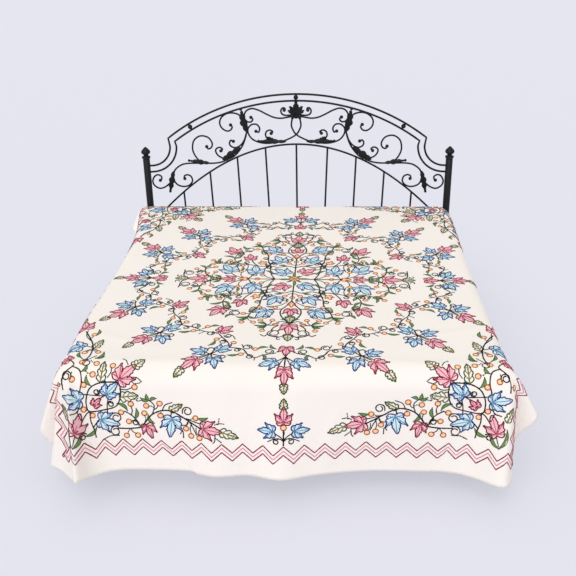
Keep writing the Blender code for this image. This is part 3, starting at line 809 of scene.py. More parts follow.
@dataclass
class Sheet:
    """The draped cotton sheet as a fine grid, and the base that needlework is laid on."""

    width: float = 2.29
    length: float = 2.74
    thickness: float = 0.002
    step: float = 0.0132
    hem_width: float = 0.012
    hem_rise: float = 0.0007
    drape: Drape = Drape()
    creases: tuple[Crease, ...] = (
        Crease((-0.95, -0.86), (-0.30, -0.84), 0.0030, 0.030),
        Crease((0.25, -0.80), (0.95, -0.88), 0.0030, 0.026),
        Crease((-0.70, 0.50), (0.60, 0.52), 0.0022, 0.035),
        Crease((-0.02, -0.80), (0.03, 0.80), 0.0022, 0.030),
        Crease((-0.90, -0.60), (-0.55, -0.75), 0.0035, 0.022),
        Crease((0.55, -0.62), (0.92, -0.50), 0.0030, 0.022),
        Crease((-0.55, -1.02), (-0.50, -1.36), 0.0045, 0.030),
        Crease((-0.16, -1.02), (-0.20, -1.36), 0.0040, 0.034),
        Crease((0.22, -1.04), (0.18, -1.36), 0.0045, 0.028),
        Crease((0.52, -1.02), (0.56, -1.36), 0.0050, 0.030),
        Crease((-0.98, -0.40), (-1.13, -0.36), 0.0040, 0.030),
        Crease((0.98, 0.10), (1.13, 0.16), 0.0040, 0.030),
        Crease((-0.98, 0.45), (-1.13, 0.40), 0.0040, 0.028),
        Crease((0.98, -0.35), (1.13, -0.28), 0.0045, 0.026),
    )
    places: Array = field(init=False, repr=False)
    normals: Array = field(init=False, repr=False)
    flat: Array = field(init=False, repr=False)
    across: Array = field(init=False, repr=False)
    along: Array = field(init=False, repr=False)

    def __post_init__(self) -> None:
        """Work out the grid's lines, places and normals."""
        self.across = np.linspace(-self.width / 2, self.width / 2, round(self.width / self.step) + 1)
        self.along = np.linspace(-self.length / 2, self.length / 2, round(self.length / self.step) + 1)
        v, u = np.meshgrid(self.along, self.across, indexing="ij")
        self.flat = np.stack([u.ravel(), v.ravel()], axis=1)
        bare = self.drape.place(self.flat).reshape(*u.shape, 3)
        normals = self.normals_of(bare)
        rise = sum(crease.rise(u, v) for crease in self.creases)
        hem = np.minimum(self.width / 2 - np.abs(u), self.length / 2 - np.abs(v))
        rise = rise + self.hem_rise * (hem < self.hem_width)
        self.places = bare + rise[..., None] * normals
        self.normals = self.normals_of(self.places)

    def normals_of(self, places: Array) -> Array:
        """Unit normals of a grid of places, pointing out of the cloth's top face."""
        turn = np.cross(np.gradient(places, axis=1), np.gradient(places, axis=0))
        return turn / np.linalg.norm(turn, axis=2, keepdims=True)

    def lay(self, flat: Array) -> Array:
        """Carry flat points to the draped cloth.

        Args:
            flat: Points (u, v, height above the cloth), one a row.

        Returns:
            Their places, one a row.
        """
        def steps(values: Array, lines: Array) -> Array:
            """How many steps of the grid lie before values, kept off its last line."""
            return np.clip((values - lines[0]) / (lines[1] - lines[0]), 0, len(lines) - 1.001)

        column, row = steps(flat[:, 0], self.across), steps(flat[:, 1], self.along)
        left, low = column.astype(int), row.astype(int)
        s, t = (column - left)[:, None], (row - low)[:, None]

        def between(grid: Array) -> Array:
            """Values of a grid between its four nearest points."""
            lower, upper = (grid[line, left] * (1 - s) + grid[line, left + 1] * s for line in (low, low + 1))
            return lower * (1 - t) + upper * t

        return between(self.places) + between(self.normals) * flat[:, 2:3]

    def build(self) -> Object:
        """Returns:
            The cloth's object.
        """
        rows, columns = self.places.shape[:2]
        mesh = mesh_of(self.places.reshape(-1, 3), grid_faces(rows, columns), outwards=False)
        flat = mesh.uv_layers.new(name="flat")
        corners = np.zeros(len(mesh.loops), dtype=int)
        mesh.loops.foreach_get("vertex_index", corners)
        flat.data.foreach_set("uv", self.flat[corners].astype(np.float32).ravel())
        cloth = link_mesh("bedspread_cloth", mesh, CottonFinish().material(), smooth=80.0)
        solid = cloth.modifiers.new("Thickness", "SOLIDIFY")
        solid.thickness = self.thickness
        solid.offset = -1.0
        solid.use_even_offset = False
        cloth.data = settled(cloth)
        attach(cloth, "root")
        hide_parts("bedspread")
        return cloth


@dataclass(frozen=True)
class Placing:
    """A turn, mirror and shift in the flat pattern."""

    across: tuple[float, float] = (1.0, 0.0)
    along: tuple[float, float] = (0.0, 1.0)
    shift: tuple[float, float] = (0.0, 0.0)

    def points(self, local: Array) -> Array:
        """Local points in the pattern."""
        across, along = local[:, :1] * np.array(self.across), local[:, 1:2] * np.array(self.along)
        return across + along + np.array(self.shift)

    def inside(self, outer: "Placing") -> "Placing":
        """This placing, itself placed by an outer one.

        Args:
            outer: The outer placing.

        Returns:
            The two as one.
        """
        axes = outer.points(np.array([self.across, self.along])) - np.array(outer.shift)
        shift = outer.points(np.array([self.shift]))[0]
        return Placing(tuple(axes[0]), tuple(axes[1]), tuple(shift))


# Placings that repeat a part of the pattern.
MIRRORS = tuple(Placing((x, 0.0), (0.0, y)) for x in (1.0, -1.0) for y in (1.0, -1.0))
CORNERS = (Placing(shift=(0.0, -0.014)), Placing((-1.0, 0.0), (0.0, 1.0), (-0.006, 0.010)),
           Placing((1.0, 0.0), (0.0, -1.0)), Placing((-1.0, 0.0), (0.0, -1.0)))
SOUTH_NORTH = (Placing(), Placing(along=(0.0, -1.0)))
WEST_EAST = (Placing(), Placing((-1.0, 0.0)))
HALF_TURN = (Placing(), Placing((-1.0, 0.0), (0.0, -1.0)))
SWAPPED = (Placing(), Placing((0.0, 1.02), (0.975, 0.0)))


@dataclass
class Needlework:
    """What is to be sewn: lines of stitches and padded fills, by wool, in pattern coordinates."""

    lines: dict[Wool, list[Line]] = field(default_factory=dict)
    fills: dict[Wool, list[tuple[Array, Faces]]] = field(default_factory=dict)
    hand: np.random.Generator = field(default_factory=lambda: np.random.default_rng(11))

    STRIP_SINK = 0.0003
    STRIP_END = 0.0002
    FILL_SINK = 0.0004
    FILL_EDGE = 0.0005
    FILL_RINGS = ((0.97, 0.7), (0.72, 1.0), (0.38, 1.0))
    CROWN = 1.05

    def line(self, wool: Wool, points: Array, wide: float = 1.0, closed: bool = False) -> None:
        """Note a line of stitches, with its width in threads."""
        level = np.column_stack([points, np.zeros(len(points))])
        self.lines.setdefault(wool, []).append(Line(level, wide, closed))

    def fill(self, wool: Wool, outline: Array, centre: Array, rise: float) -> None:
        """Note a low cushion of stitches inside an outline that is seen whole from its centre.

        Args:
            wool: Its wool.
            outline: Its edge, one point a row.
            centre: The point that its rings shrink to.
            rise: Its height in the middle.
        """
        count = len(outline)
        rings = [(1.0, -self.FILL_EDGE), *((scale, share * rise) for scale, share in self.FILL_RINGS)]
        points = [np.column_stack([centre + (outline - centre) * scale, np.full(count, level)])
                  for scale, level in rings]
        points.append(np.array([[*centre, rise * self.CROWN], [*centre, -self.FILL_SINK]]))
        top = len(rings) * count
        faces = ring_faces(len(rings), count, top + 1, top)
        self.fills.setdefault(wool, []).append((np.vstack(points), faces))

    def strip(self, wool: Wool, middle: Array, widths: Array, rise: float) -> None:
        """Note a low cushion along a line, pointed at both ends.

        Args:
            wool: Its wool.
            middle: Points along its middle.
            widths: Half width at each, nothing at the ends.
            rise: Its height in the middle.
        """
        run = np.gradient(middle, axis=0)
        side = np.stack([-run[:, 1], run[:, 0]], axis=1) / np.linalg.norm(run, axis=1, keepdims=True)
        count = len(middle)
        low_edge = np.full(count, -self.STRIP_SINK)
        left, right = (np.column_stack([middle + side * widths[:, None] * way, low_edge]) for way in (1, -1))
        crown = np.column_stack([middle, np.where(widths > 0, rise, self.STRIP_END)])
        faces = [(low + index, high + index, high + index + 1, low + index + 1) for index in range(count - 1)
                 for low, high in ((0, count), (count, 2 * count), (2 * count, 0))]
        self.fills.setdefault(wool, []).append((np.vstack([left, crown, right]), faces))


class Dye(Enum):
    """Colourings of a lobed leaf: its outline, its veins and its fill."""

    BLUE = (Wool.NAVY, Wool.SKY, Wool.AQUA)
    PINK = (Wool.WINE, Wool.ROSE, Wool.BLUSH)
    ORANGE = (Wool.RUST, Wool.PEACH, Wool.PEACH)


BLUE, PINK, ORANGE = Dye


@dataclass(frozen=True)
class Leaf:
    """A five-lobed vine leaf, by its middle, the way it points and its length."""

    dye: Dye
    x: float
    y: float
    heading: float
    length: float

    HALF = ((0.05, -0.38), (0.16, -0.44), (0.30, -0.42), (0.39, -0.30), (0.31, -0.22), (0.43, -0.14),
            (0.38, -0.02), (0.50, 0.24), (0.33, 0.10), (0.25, 0.12), (0.13, -0.07), (0.20, 0.09),
            (0.15, 0.15), (0.20, 0.25), (0.12, 0.31), (0.12, 0.40))
    FOOT = (0.0, -0.34)
    TIP = (0.0, 0.62)
    ROOT = (0.0, -0.30)
    HEART = (0.0, -0.12)
    VEINS = ((0.0, 0.46), (0.38, 0.10), (-0.38, 0.10), (0.29, -0.32), (-0.29, -0.32))
    STROKES = ((0.14, 0.02, 0.04, -0.22), (0.34, -0.20, 0.10, -0.27))
    SCALE = 0.93
    FILL_SCALE = 0.88
    BLUNTING = 0.15
    VEIN_BEND = 0.45
    UNEVEN = 0.016
    PLAIN_BELOW = 53

    def sew(self, work: Needlework, place: Placing) -> None:
        """Sew the leaf: outline, fill and, if it is large enough, veins and strokes between the lobes.

        Args:
            work: Where its stitches are noted.
            place: Where it lies in the pattern.
        """
        outline_wool, inner_wool, light_wool = self.dye.value
        turn = math.radians(self.heading - 90.0)
        x, y, length = metres(self.x, self.y, self.length)
        size = self.SCALE * length
        cosine, sine = math.cos(turn) * size, math.sin(turn) * size
        here = Placing((cosine, sine), (-sine, cosine), (x, y)).inside(place)
        half = np.array(self.HALF)
        shape = np.vstack([self.FOOT, half, self.TIP, half[::-1] * (-1.0, 1.0)])
        shape = shape + work.hand.uniform(-self.UNEVEN, self.UNEVEN, shape.shape)
        work.line(outline_wool, here.points(rounded(shape)), wide=0.96, closed=True)
        beside = np.roll(shape, 1, axis=0) + np.roll(shape, -1, axis=0)
        blunt = (1.0 - 2 * self.BLUNTING) * shape + self.BLUNTING * beside
        heart = here.points(np.array([self.HEART]))[0]
        work.fill(light_wool, here.points(blunt * self.FILL_SCALE), heart, rise=0.0006)
        if self.length < self.PLAIN_BELOW:
            return
        root = np.array(self.ROOT)
        for tip in np.array(self.VEINS):
            vein = np.array([root, root * self.VEIN_BEND + tip * self.VEIN_BEND, tip])
            work.line(inner_wool, here.points(vein), wide=0.95)
        for start_x, start_y, stop_x, stop_y in self.STROKES:
            for way in (1.0, -1.0):
                stroke = np.array([(start_x * way, start_y), (stop_x * way, stop_y)])
                work.line(outline_wool, here.points(stroke), wide=0.9)


@dataclass(frozen=True)
class Serrated:
    """A toothed green leaf from its foot to its tip, outlined and veined."""

    x: float
    y: float
    tip_x: float
    tip_y: float
    width: float

    NOTCHES = ((0.04, 0.50), (0.14, 1.0), (0.26, 0.95), (0.32, 0.62), (0.42, 0.98), (0.55, 0.85),
               (0.60, 0.50), (0.70, 0.66), (0.80, 0.50), (0.86, 0.22))
    VEINS = ((0.16, 0.14, 0.62), (0.40, 0.14, 0.58), (0.62, 0.10, 0.34))
    RIB_SHARE = 0.84

    def sew(self, work: Needlework, place: Placing) -> None:
        """Sew the leaf's toothed edge, midrib and side veins.

        Args:
            work: Where its stitches are noted.
            place: Where it lies in the pattern.
        """
        foot, tip = metres((self.x, self.y), (self.tip_x, self.tip_y))
        along = tip - foot
        side = np.array([-along[1], along[0]]) / np.linalg.norm(along) * (self.width / 1000.0) / 2
        edge = [foot + along * t + side * w for t, w in self.NOTCHES]
        edge += [tip] + [foot + along * t - side * w for t, w in reversed(self.NOTCHES)]
        outline = rounded(np.array([foot, *edge]))
        work.line(Wool.FOREST, place.points(outline), wide=0.92, closed=True)
        work.line(Wool.OLIVE, place.points(np.array([foot, foot + along * self.RIB_SHARE])), wide=0.9)
        for t, run, reach in self.VEINS:
            for way in (1.0, -1.0):
                start = foot + along * t
                stop = foot + along * (t + run) + side * way * reach
                work.line(Wool.OLIVE, place.points(np.array([start, stop])), wide=0.75)


@dataclass(frozen=True)
class Slender:
    """A narrow green leaf, filled, that bends to one side on its way to the tip."""

    x: float
    y: float
    tip_x: float
    tip_y: float
    bend: float = 0.18
    width: float = 13

    STEPS = 8
    ROUNDING = 0.8
    EDGE_SCALE = 1.05

    def sew(self, work: Needlework, place: Placing) -> None:
        """Sew the leaf's fill and its darker edges.

        Args:
            work: Where its stitches are noted.
            place: Where it lies in the pattern.
        """
        foot, tip = metres((self.x, self.y), (self.tip_x, self.tip_y))
        along = tip - foot
        side = np.array([-along[1], along[0]])
        t = np.linspace(0.0, 1.0, self.STEPS)
        middle = foot + along * t[:, None] + side * (self.bend * 4 * t * (1 - t))[:, None]
        widths = 0.5 * (self.width / 1000.0) * np.sin(math.pi * t) ** self.ROUNDING
        widths[0] = widths[-1] = 0.0
        work.strip(Wool.SAGE, place.points(middle), widths, rise=0.0012)
        normal = side / np.linalg.norm(side)
        for way in (1.0, -1.0):
            edge = middle + normal * widths[:, None] * way * self.EDGE_SCALE
            work.line(Wool.FOREST, place.points(edge), wide=0.62)


@dataclass(frozen=True)
class Berry:
    """A round orange berry and the stem that it hangs on."""

    x: float
    y: float
    stem_x: float
    stem_y: float
    radius: float = 11.5

    STEPS = 12
    FILL_SCALE = 0.76
    TOUCHING = 1.3
    BOW = 0.10

    def sew(self, work: Needlework, place: Placing) -> None:
        """Sew the berry's rim, fill and stem.

        Args:
            work: Where its stitches are noted.
            place: Where it lies in the pattern.
        """
        middle, start = metres((self.x, self.y), (self.stem_x, self.stem_y))
        radius = self.radius / 1000.0
        turn = np.linspace(0.0, 2 * math.pi, self.STEPS + 1)[:-1]
        ring = middle + radius * np.column_stack([np.cos(turn), np.sin(turn)])
        work.line(Wool.RUST, place.points(ring), wide=0.78, closed=True)
        inner = middle + (ring - middle) * self.FILL_SCALE
        work.fill(Wool.PEACH, place.points(inner), place.points(middle[None])[0], rise=0.0008)
        away = start - middle
        distance = np.linalg.norm(away)
        if distance > radius * self.TOUCHING:
            rim = middle + away / distance * radius
            bulge = (rim + start) / 2 + np.array([-away[1], away[0]]) * self.BOW
            work.line(Wool.BARK, place.points(spline(np.array([rim, bulge, start]), 3)), wide=0.78)


@dataclass(frozen=True)
class Vine:
    """A dark stem through given points."""

    points: tuple[tuple[float, float], ...]
    wide: float = 1.12

    def sew(self, work: Needlework, place: Placing) -> None:
        """Sew the stem as a smooth line."""
        work.line(Wool.BARK, place.points(spline(metres(*self.points), 5)), wide=self.wide)


@dataclass(frozen=True)
class Curl:
    """A tendril that winds in round a middle from a start angle, by a number of signed turns."""

    x: float
    y: float
    radius: float
    start: float
    turns: float = 1.3

    STEPS = 15
    OUTER = 1.25
    WINDING = 0.66

    def sew(self, work: Needlework, place: Placing) -> None:
        """Sew the tendril as a spiral.

        Args:
            work: Where its stitches are noted.
            place: Where it lies in the pattern.
        """
        x, y, radius = metres(self.x, self.y, self.radius)
        t = np.linspace(0.0, 1.0, self.STEPS)
        angle = math.radians(self.start) + 2 * math.pi * self.turns * t
        reach = radius * (self.OUTER - self.WINDING * t)
        points = np.column_stack([x + reach * np.cos(angle), y + reach * np.sin(angle)])
        work.line(Wool.BARK, place.points(points), wide=0.92)


Motif = Leaf | Serrated | Slender | Berry | Vine | Curl

Motifs = tuple[Motif, ...]


def each(kind: type[Motif], *rows: tuple) -> Motifs:
    """Motifs of one kind, one for each row of its values."""
    return tuple(kind(*row) for row in rows)


# The parts of the pattern, each in its own quarter, corner or side, in millimetres.
CENTRE: Motifs = (
    *each(Leaf, (PINK, -63, -93, 225, 108), (BLUE, 66, -87, 315, 108)),
    *each(Slender, (0, -18, 0, -85, 0.05, 13), (-18, 0, -80, 0, 0.05, 12), (-12, -12, -35, -35, 0.1, 10),
          (12, -12, 35, -35, -0.1, 10)),
    *each(Berry, (0, -16, 0, -16, 13), (-17, 2, -17, 2, 13)),
)

SOUTH_AXIS: Motifs = (
    Vine(((0, -85), (0, -160), (0, -255))), Berry(0, -215, 0, -240, 12),
    *each(Leaf, (ORANGE, 0, -292, 270, 50), (PINK, 0, -368, 270, 88)),
    Serrated(0, -405, 0, -478, 46), Leaf(PINK, 0, -530, 270, 108), Serrated(0, -582, 0, -648, 44),
    Leaf(PINK, 0, -728, 270, 88), Vine(((0, -765), (0, -800), (0, -852))), Leaf(PINK, 0, -890, 270, 88),
    *each(Serrated, (0, -925, 0, -970, 36), (0, -1036, 0, -986, 36)),
    Leaf(PINK, 0, -1070, 90, 88), Berry(0, -1116, 0, -1150, 12),
    Vine(((0, -1128), (0, -1160), (0, -1192)), 1.1),
)

SOUTH_SIDES: Motifs = (
    Vine(((0, -250), (-21, -300), (-48, -352), (-41, -412), (0, -488)), 1.2),
    Vine(((-6, -480), (-36, -462), (-58, -470))),
    *each(Slender, (-10, -470, -40, -440, -0.2, 10), (-4, -405, -30, -430, 0.22, 8)),
    Vine(((-8, -586), (-34, -608), (-66, -606), (-92, -588), (-106, -602), (-122, -590))),
    *each(Curl, (-66, -574, 26, 300, -1.5), (-40, -625, 10, 90, 0.6)),
    Vine(((-50, -500), (-72, -525), (-78, -552))), Leaf(BLUE, -66, -832, 205, 88),
    Vine(((0, -782), (-14, -800), (-32, -816))), Vine(((0, -786), (-16, -824), (-26, -858)), 0.8),
    Leaf(BLUE, -66, -1132, 176, 80), Vine(((0, -1172), (-14, -1156), (-36, -1142)), 0.9),
    Curl(-31, -1178, 11, 60, 1.1), Vine(((0, -1176), (-18, -1164), (-40, -1166), (-64, -1178)), 0.8),
)

WEST_AXIS: Motifs = (
    Vine(((-80, 0), (-160, 0), (-240, 0))), Berry(-190, 0, -180, 0, 12.5),
    *each(Leaf, (ORANGE, -262, 0, 180, 52), (PINK, -338, 0, 180, 88)),
    Serrated(-380, 0, -432, 0, 40), Leaf(PINK, -492, 0, 180, 114), Serrated(-548, 0, -616, 0, 44),
    Leaf(PINK, -692, 0, 180, 86), Vine(((-728, 0), (-760, 0), (-800, 0))), Leaf(PINK, -840, 0, 180, 88),
    Serrated(-882, 0, -938, 0, 36),
)

WEST_SIDES: Motifs = (
    Leaf(BLUE, -782, -68, 245, 88), Vine(((-735, 0), (-752, -16), (-766, -34))),
    Vine(((-738, 0), (-778, -16), (-810, -26)), 0.8),
    Vine(((-552, -10), (-575, -36), (-578, -80), (-580, -104))),
    *each(Curl, (-552, -68, 24, 150, 1.5), (-600, -36, 11, 0, 0.6)),
    Slender(-430, -6, -455, -40, 0.2, 9),
)

QUARTER: Motifs = (
    *each(Leaf, (BLUE, -206, -105, 262, 118), (BLUE, -348, -118, 238, 122), (BLUE, -90, -240, 245, 110),
          (BLUE, -130, -378, 240, 112), (PINK, -250, -271, 262, 88), (PINK, -348, -360, 240, 108),
          (ORANGE, -180, -205, 250, 50)),
    Vine(((-100, 0), (-120, -50), (-130, -110), (-136, -165), (-150, -230), (-156, -300), (-185, -365),
          (-200, -425)), 1.1), Vine(((-136, -165), (-92, -146), (-45, -162), (0, -140))),
    Vine(((-136, -165), (-170, -158), (-200, -164), (-225, -200), (-238, -232))),
    Vine(((-200, -164), (-260, -182), (-310, -200), (-334, -250), (-325, -318)), 1),
    Vine(((-310, -200), (-360, -186), (-405, -200))), Vine(((-240, 0), (-226, -25), (-220, -52))),
    Vine(((-262, -10), (-305, -36), (-330, -66))), Vine(((-150, -205), (-125, -196), (-108, -198))),
    Vine(((-47, -335), (-80, -340), (-102, -338))),
    Vine(((-380, 0), (-420, -20), (-452, -40), (-472, -90), (-474, -140))),
    Vine(((-100, -110), (-150, -140), (-160, -180)), 0.8), Vine(((-50, -478), (-85, -500), (-110, -490))),
    Vine(((-20, -262), (-60, -300), (-115, -312)), 0.8),
    Vine(((-255, -182), (-252, -140), (-262, -95)), 0.8), Curl(-262, -380, 24, 70, 1.5),
    Vine(((-325, -318), (-290, -345), (-262, -356)), 0.8),
    *each(Curl, (-140, -148, 15, 250, -1.2), (-303, -322, 14, 200, 1.3), (-165, -262, 13, 40, 1.2),
          (-34, -240, 13, 300, 1.2), (-112, -186, 12, 180, 1.1), (-262, -206, 13, 90, 1.2),
          (-208, -46, 11, 200, 1.1)),
    Vine(((-140, -170), (-134, -196), (-120, -212))), Slender(-112, -60, -152, -102, 0.12),
    Vine(((-138, -168), (-128, -206))), Vine(((-138, -168), (-150, -136)), 0.9),
    Serrated(-300, -300, -324, -342, 32),
    *each(Curl, (-300, -168, 12, 120, 1.2), (-500, -75, 14, 200, 1.2), (-345, -208, 11, 330, 1.1),
          (-118, -420, 11, 20, -1)),
    *each(Berry, (-166, -46, -104, -6), (-281, -88, -268, -22), (-282, -166, -255, -182),
          (-415, -82, -425, -24), (-457, -66, -440, -30), (-521, -120, -490, -85), (-422, -145, -472, -115),
          (-442, -182, -405, -200), (-447, -232, -405, -200), (-355, -232, -345, -192),
          (-152, -317, -158, -300), (-76, -320, -115, -312), (-222, -386, -193, -390),
          (-222, -472, -200, -425), (-168, -472, -200, -425), (-136, -450, -110, -490),
          (-80, -450, -98, -496), (-66, -494, -85, -500), (-120, -550, -100, -496), (-38, -198, 0, -170)),
    *each(Serrated, (-305, -200, -362, -176, 30), (-395, -200, -440, -212, 30),
          (-172, -318, -196, -372, 30)),
    *each(Slender, (-281, -100, -278, -145, 0.08), (-405, -200, -408, -256, -0.15),
          (-385, -195, -372, -222, 0.2), (-320, -215, -298, -240, 0.2), (-198, -415, -250, -420, 0.18),
          (-200, -422, -238, -452, 0.16), (-196, -410, -160, -432, -0.16), (-276, -395, -302, -424, -0.2),
          (-334, -258, -300, -300, 0.15), (-334, -262, -392, -288, 0.15), (-100, -498, -158, -500, 0.16),
          (-104, -500, -140, -526, 0.16), (-104, -494, -142, -476, -0.16), (-150, -140, -166, -186, 0.18),
          (-50, -158, -86, -172, 0.16), (-474, -130, -504, -158, 0.16), (-474, -138, -456, -176, 0.16),
          (-468, -90, -500, -104, -0.18), (-380, -6, -412, -40, 0.2)),
)

CLUSTER: Motifs = (
    *each(Leaf, (BLUE, -52, 24, 160, 82), (BLUE, 50, 48, 45, 84), (BLUE, 22, -60, 282, 86),
          (PINK, -73, -71, 225, 104)),
    Serrated(-104, -104, -140, -146, 38), Vine(((-20, 10), (0, 0), (24, 22)), 1.2),
    Vine(((0, 0), (6, -16), (12, -34)), 1.1), Vine(((0, 0), (-22, -22), (-40, -36)), 1.2),
    Vine(((0, 0), (-16, -34), (-36, -52)), 0.7), Vine(((0, 0), (9, 22), (10, 44), (-8, 52), (-18, 38))),
    Vine(((0, 0), (-30, -18), (-52, -34)), 0.7), Vine(((0, 0), (32, -12), (56, -14))),
    Curl(54, -26, 12, 90, -0.8),
)

GARLAND: Motifs = (
    Vine(((-46, -752), (-98, -770), (-130, -792), (-162, -770), (-190, -722), (-246, -708))),
    Vine(((-130, -792), (-132, -812)), 0.8),
    *each(Curl, (-74, -740, 18, 250, 1.3), (-156, -785, 14, 100, -1.2), (-172, -704, 18, 330, 1.3),
          (-214, -728, 12, 60, -1.2)),
    Vine(((-190, -700), (-196, -684)), 0.8),
    *each(Berry, (-135, -720, -150, -705), (-194, -766, -176, -750)),
    *each(Slender, (-124, -716, -84, -702, 0.16), (-46, -716, -70, -682, 0.2),
          (-206, -768, -250, -774, 0.12), (-98, -768, -92, -806, 0.18)),
    Vine(((-252, -700), (-262, -662), (-292, -618), (-322, -578), (-380, -566), (-430, -530),
          (-494, -506)), 1), Leaf(PINK, -290, -546, 48, 88), Vine(((-322, -582), (-312, -570)), 1),
    *each(Curl, (-350, -582, 15, 60, -1.3), (-428, -514, 18, 300, 1.3), (-470, -532, 12, 90, -1.2),
          (-284, -660, 14, 0, 1.3), (-268, -604, 14, 180, 1.3)),
    Vine(((-268, -590), (-246, -604), (-234, -630)), 0.8), Vine(((-380, -566), (-400, -588)), 0.8),
    *each(Berry, (-236, -666, -254, -690), (-315, -636, -298, -622), (-371, -520, -392, -540),
          (-431, -561, -404, -560)),
    *each(Slender, (-322, -650, -344, -692, 0.2), (-358, -518, -322, -510, 0.14),
          (-444, -564, -494, -572, 0.12)),
)

KNOT: Motifs = (
    Berry(-476, -478, -500, -500),
)

FOOT_ARM: Motifs = (
    *each(Leaf, (BLUE, -762, -1104, 345, 108), (PINK, -578, -1140, 285, 82), (BLUE, -478, -1112, 262, 108),
          (PINK, -316, -1124, 350, 102)),
    *each(Serrated, (-272, -1128, -190, -1160, 42), (-694, -988, -612, -978, 50),
          (-484, -1046, -426, -1014, 34)),
    Vine(((-744, -992), (-752, -1030), (-754, -1068)), 0.8),
    Vine(((-834, -1058), (-836, -1100), (-826, -1140), (-822, -1172)), 1),
    Vine(((-828, -1130), (-812, -1112), (-800, -1104)), 0.9),
    Vine(((-715, -1136), (-660, -1136), (-612, -1128), (-585, -1095), (-560, -1065), (-520, -1046),
          (-475, -1048), (-430, -1074), (-385, -1102), (-352, -1120)), 1.1),
    Vine(((-612, -1128), (-626, -1095), (-648, -1070), (-674, -1054)), 0.9),
    Vine(((-557, -1062), (-548, -1024), (-566, -1000)), 0.8),
    Vine(((-515, -1045), (-502, -1020), (-474, -1008)), 0.8),
    Vine(((-600, -1000), (-622, -1004), (-618, -992)), 0.8), Vine(((-475, -1048), (-480, -1072)), 0.9),
    Vine(((-600, -1125), (-586, -1112)), 0.9), Vine(((-430, -1076), (-370, -1094), (-345, -1098)), 0.8),
    Vine(((-404, -1092), (-412, -1108), (-432, -1112)), 0.8),
    Vine(((-402, -1092), (-386, -1118), (-372, -1150)), 0.8),
    Vine(((-290, -1150), (-292, -1172), (-298, -1180)), 0.8), Vine(((-288, -1158), (-266, -1176)), 0.8),
    Vine(((-290, -1098), (-272, -1092), (-254, -1094)), 0.8), Vine(((-276, -1094), (-272, -1072)), 0.8),
    Vine(((-440, -1150), (-430, -1140), (-428, -1168)), 0.8),
    *each(Curl, (-634, -1108, 13, 320, 1.4), (-408, -1046, 18, 200, -1.2), (-728, -1150, 20, 60, 1.2)),
    Vine(((-716, -1170), (-752, -1172), (-786, -1186)), 0.8),
    *each(Curl, (-718, -1086, 19, 120, -1.2), (-876, -1160, 13, 40, 1), (-736, -1022, 12, 180, -1.4)),
    *each(Berry, (-694, -1060, -668, -1056), (-664, -1103, -628, -1098), (-648, -1018, -648, -1068),
          (-592, -1060, -590, -1098), (-582, -1025, -552, -1030), (-525, -1013, -548, -1040),
          (-523, -1068, -520, -1046), (-680, -1170, -658, -1138), (-630, -1168, -658, -1138),
          (-416, -1126, -404, -1092), (-394, -1158, -392, -1104), (-358, -1164, -372, -1122),
          (-373, -1074, -412, -1080), (-824, -1076, -834, -1058), (-628, -941, -690, -950)),
    *each(Slender, (-706, -1018, -664, -1048, 0.18), (-634, -1088, -626, -1040, -0.14),
          (-576, -1068, -552, -1104, -0.2), (-362, -1074, -322, -1070, -0.14),
          (-866, -1160, -814, -1132, -0.18, 14), (-925, -1196, -886, -1142, -0.2, 14),
          (-925, -1196, -950, -1112, 0.16, 14)),
    Vine(((-922, -1186), (-908, -1150)), 0.7),
    *each(Slender, (-570, -1000, -604, -990, 0.16), (-568, -1000, -580, -974, 0.16),
          (-566, -1000, -540, -990, 0.16)),
)

SIDE_ARM: Motifs = (
    *each(Leaf, (BLUE, -900, -996, 165, 106), (PINK, -942, -810, 150, 74), (BLUE, -930, -705, 165, 108),
          (PINK, -938, -512, 110, 104)),
    *each(Serrated, (-960, -466, -985, -390, 42), (-842, -716, -820, -640, 40),
          (-772, -922, -766, -828, 40)),
    Vine(((-918, -570), (-888, -622), (-865, -666), (-849, -715), (-844, -775), (-850, -812)), 1.1),
    Vine(((-912, -560), (-905, -610), (-868, -660)), 0.8),
    Vine(((-849, -712), (-885, -700), (-905, -700)), 0.9),
    Vine(((-846, -722), (-862, -734), (-872, -742)), 0.8),
    Vine(((-846, -722), (-830, -730), (-820, -740)), 0.8),
    Vine(((-920, -820), (-896, -850), (-924, -880), (-942, -915), (-944, -950)), 1),
    Vine(((-900, -858), (-866, -876), (-855, -920), (-866, -962)), 1),
    Vine(((-850, -830), (-834, -808), (-816, -786)), 0.8),
    Vine(((-850, -830), (-872, -808), (-888, -786)), 0.8), Vine(((-864, -978), (-835, -980)), 1),
    Vine(((-870, -1010), (-880, -1034), (-890, -1052), (-916, -1056)), 0.9),
    Vine(((-888, -1050), (-884, -1070), (-878, -1086)), 0.9),
    *each(Curl, (-843, -838, 16, 100, 1.2), (-922, -898, 17, 330, 1.3), (-793, -968, 12, 250, 1.4)),
    *each(Berry, (-873, -598, -882, -630), (-874, -757, -850, -738), (-816, -751, -844, -728),
          (-863, -836, -850, -812), (-799, -842, -826, -826), (-808, -892, -838, -880),
          (-897, -912, -900, -886), (-966, -934, -944, -930), (-846, -936, -856, -912),
          (-727, -852, -742, -900), (-860, -1046, -838, -1056)),
    *each(Slender, (-862, -605, -862, -552, -0.14), (-810, -808, -790, -752, -0.16, 13),
          (-812, -806, -780, -790, -0.16), (-880, -800, -896, -756, 0.16), (-856, -880, -838, -852, -0.2),
          (-816, -938, -834, -898, 0.2, 13)),
    Serrated(-945, -1078, -968, -1016, 34),
)

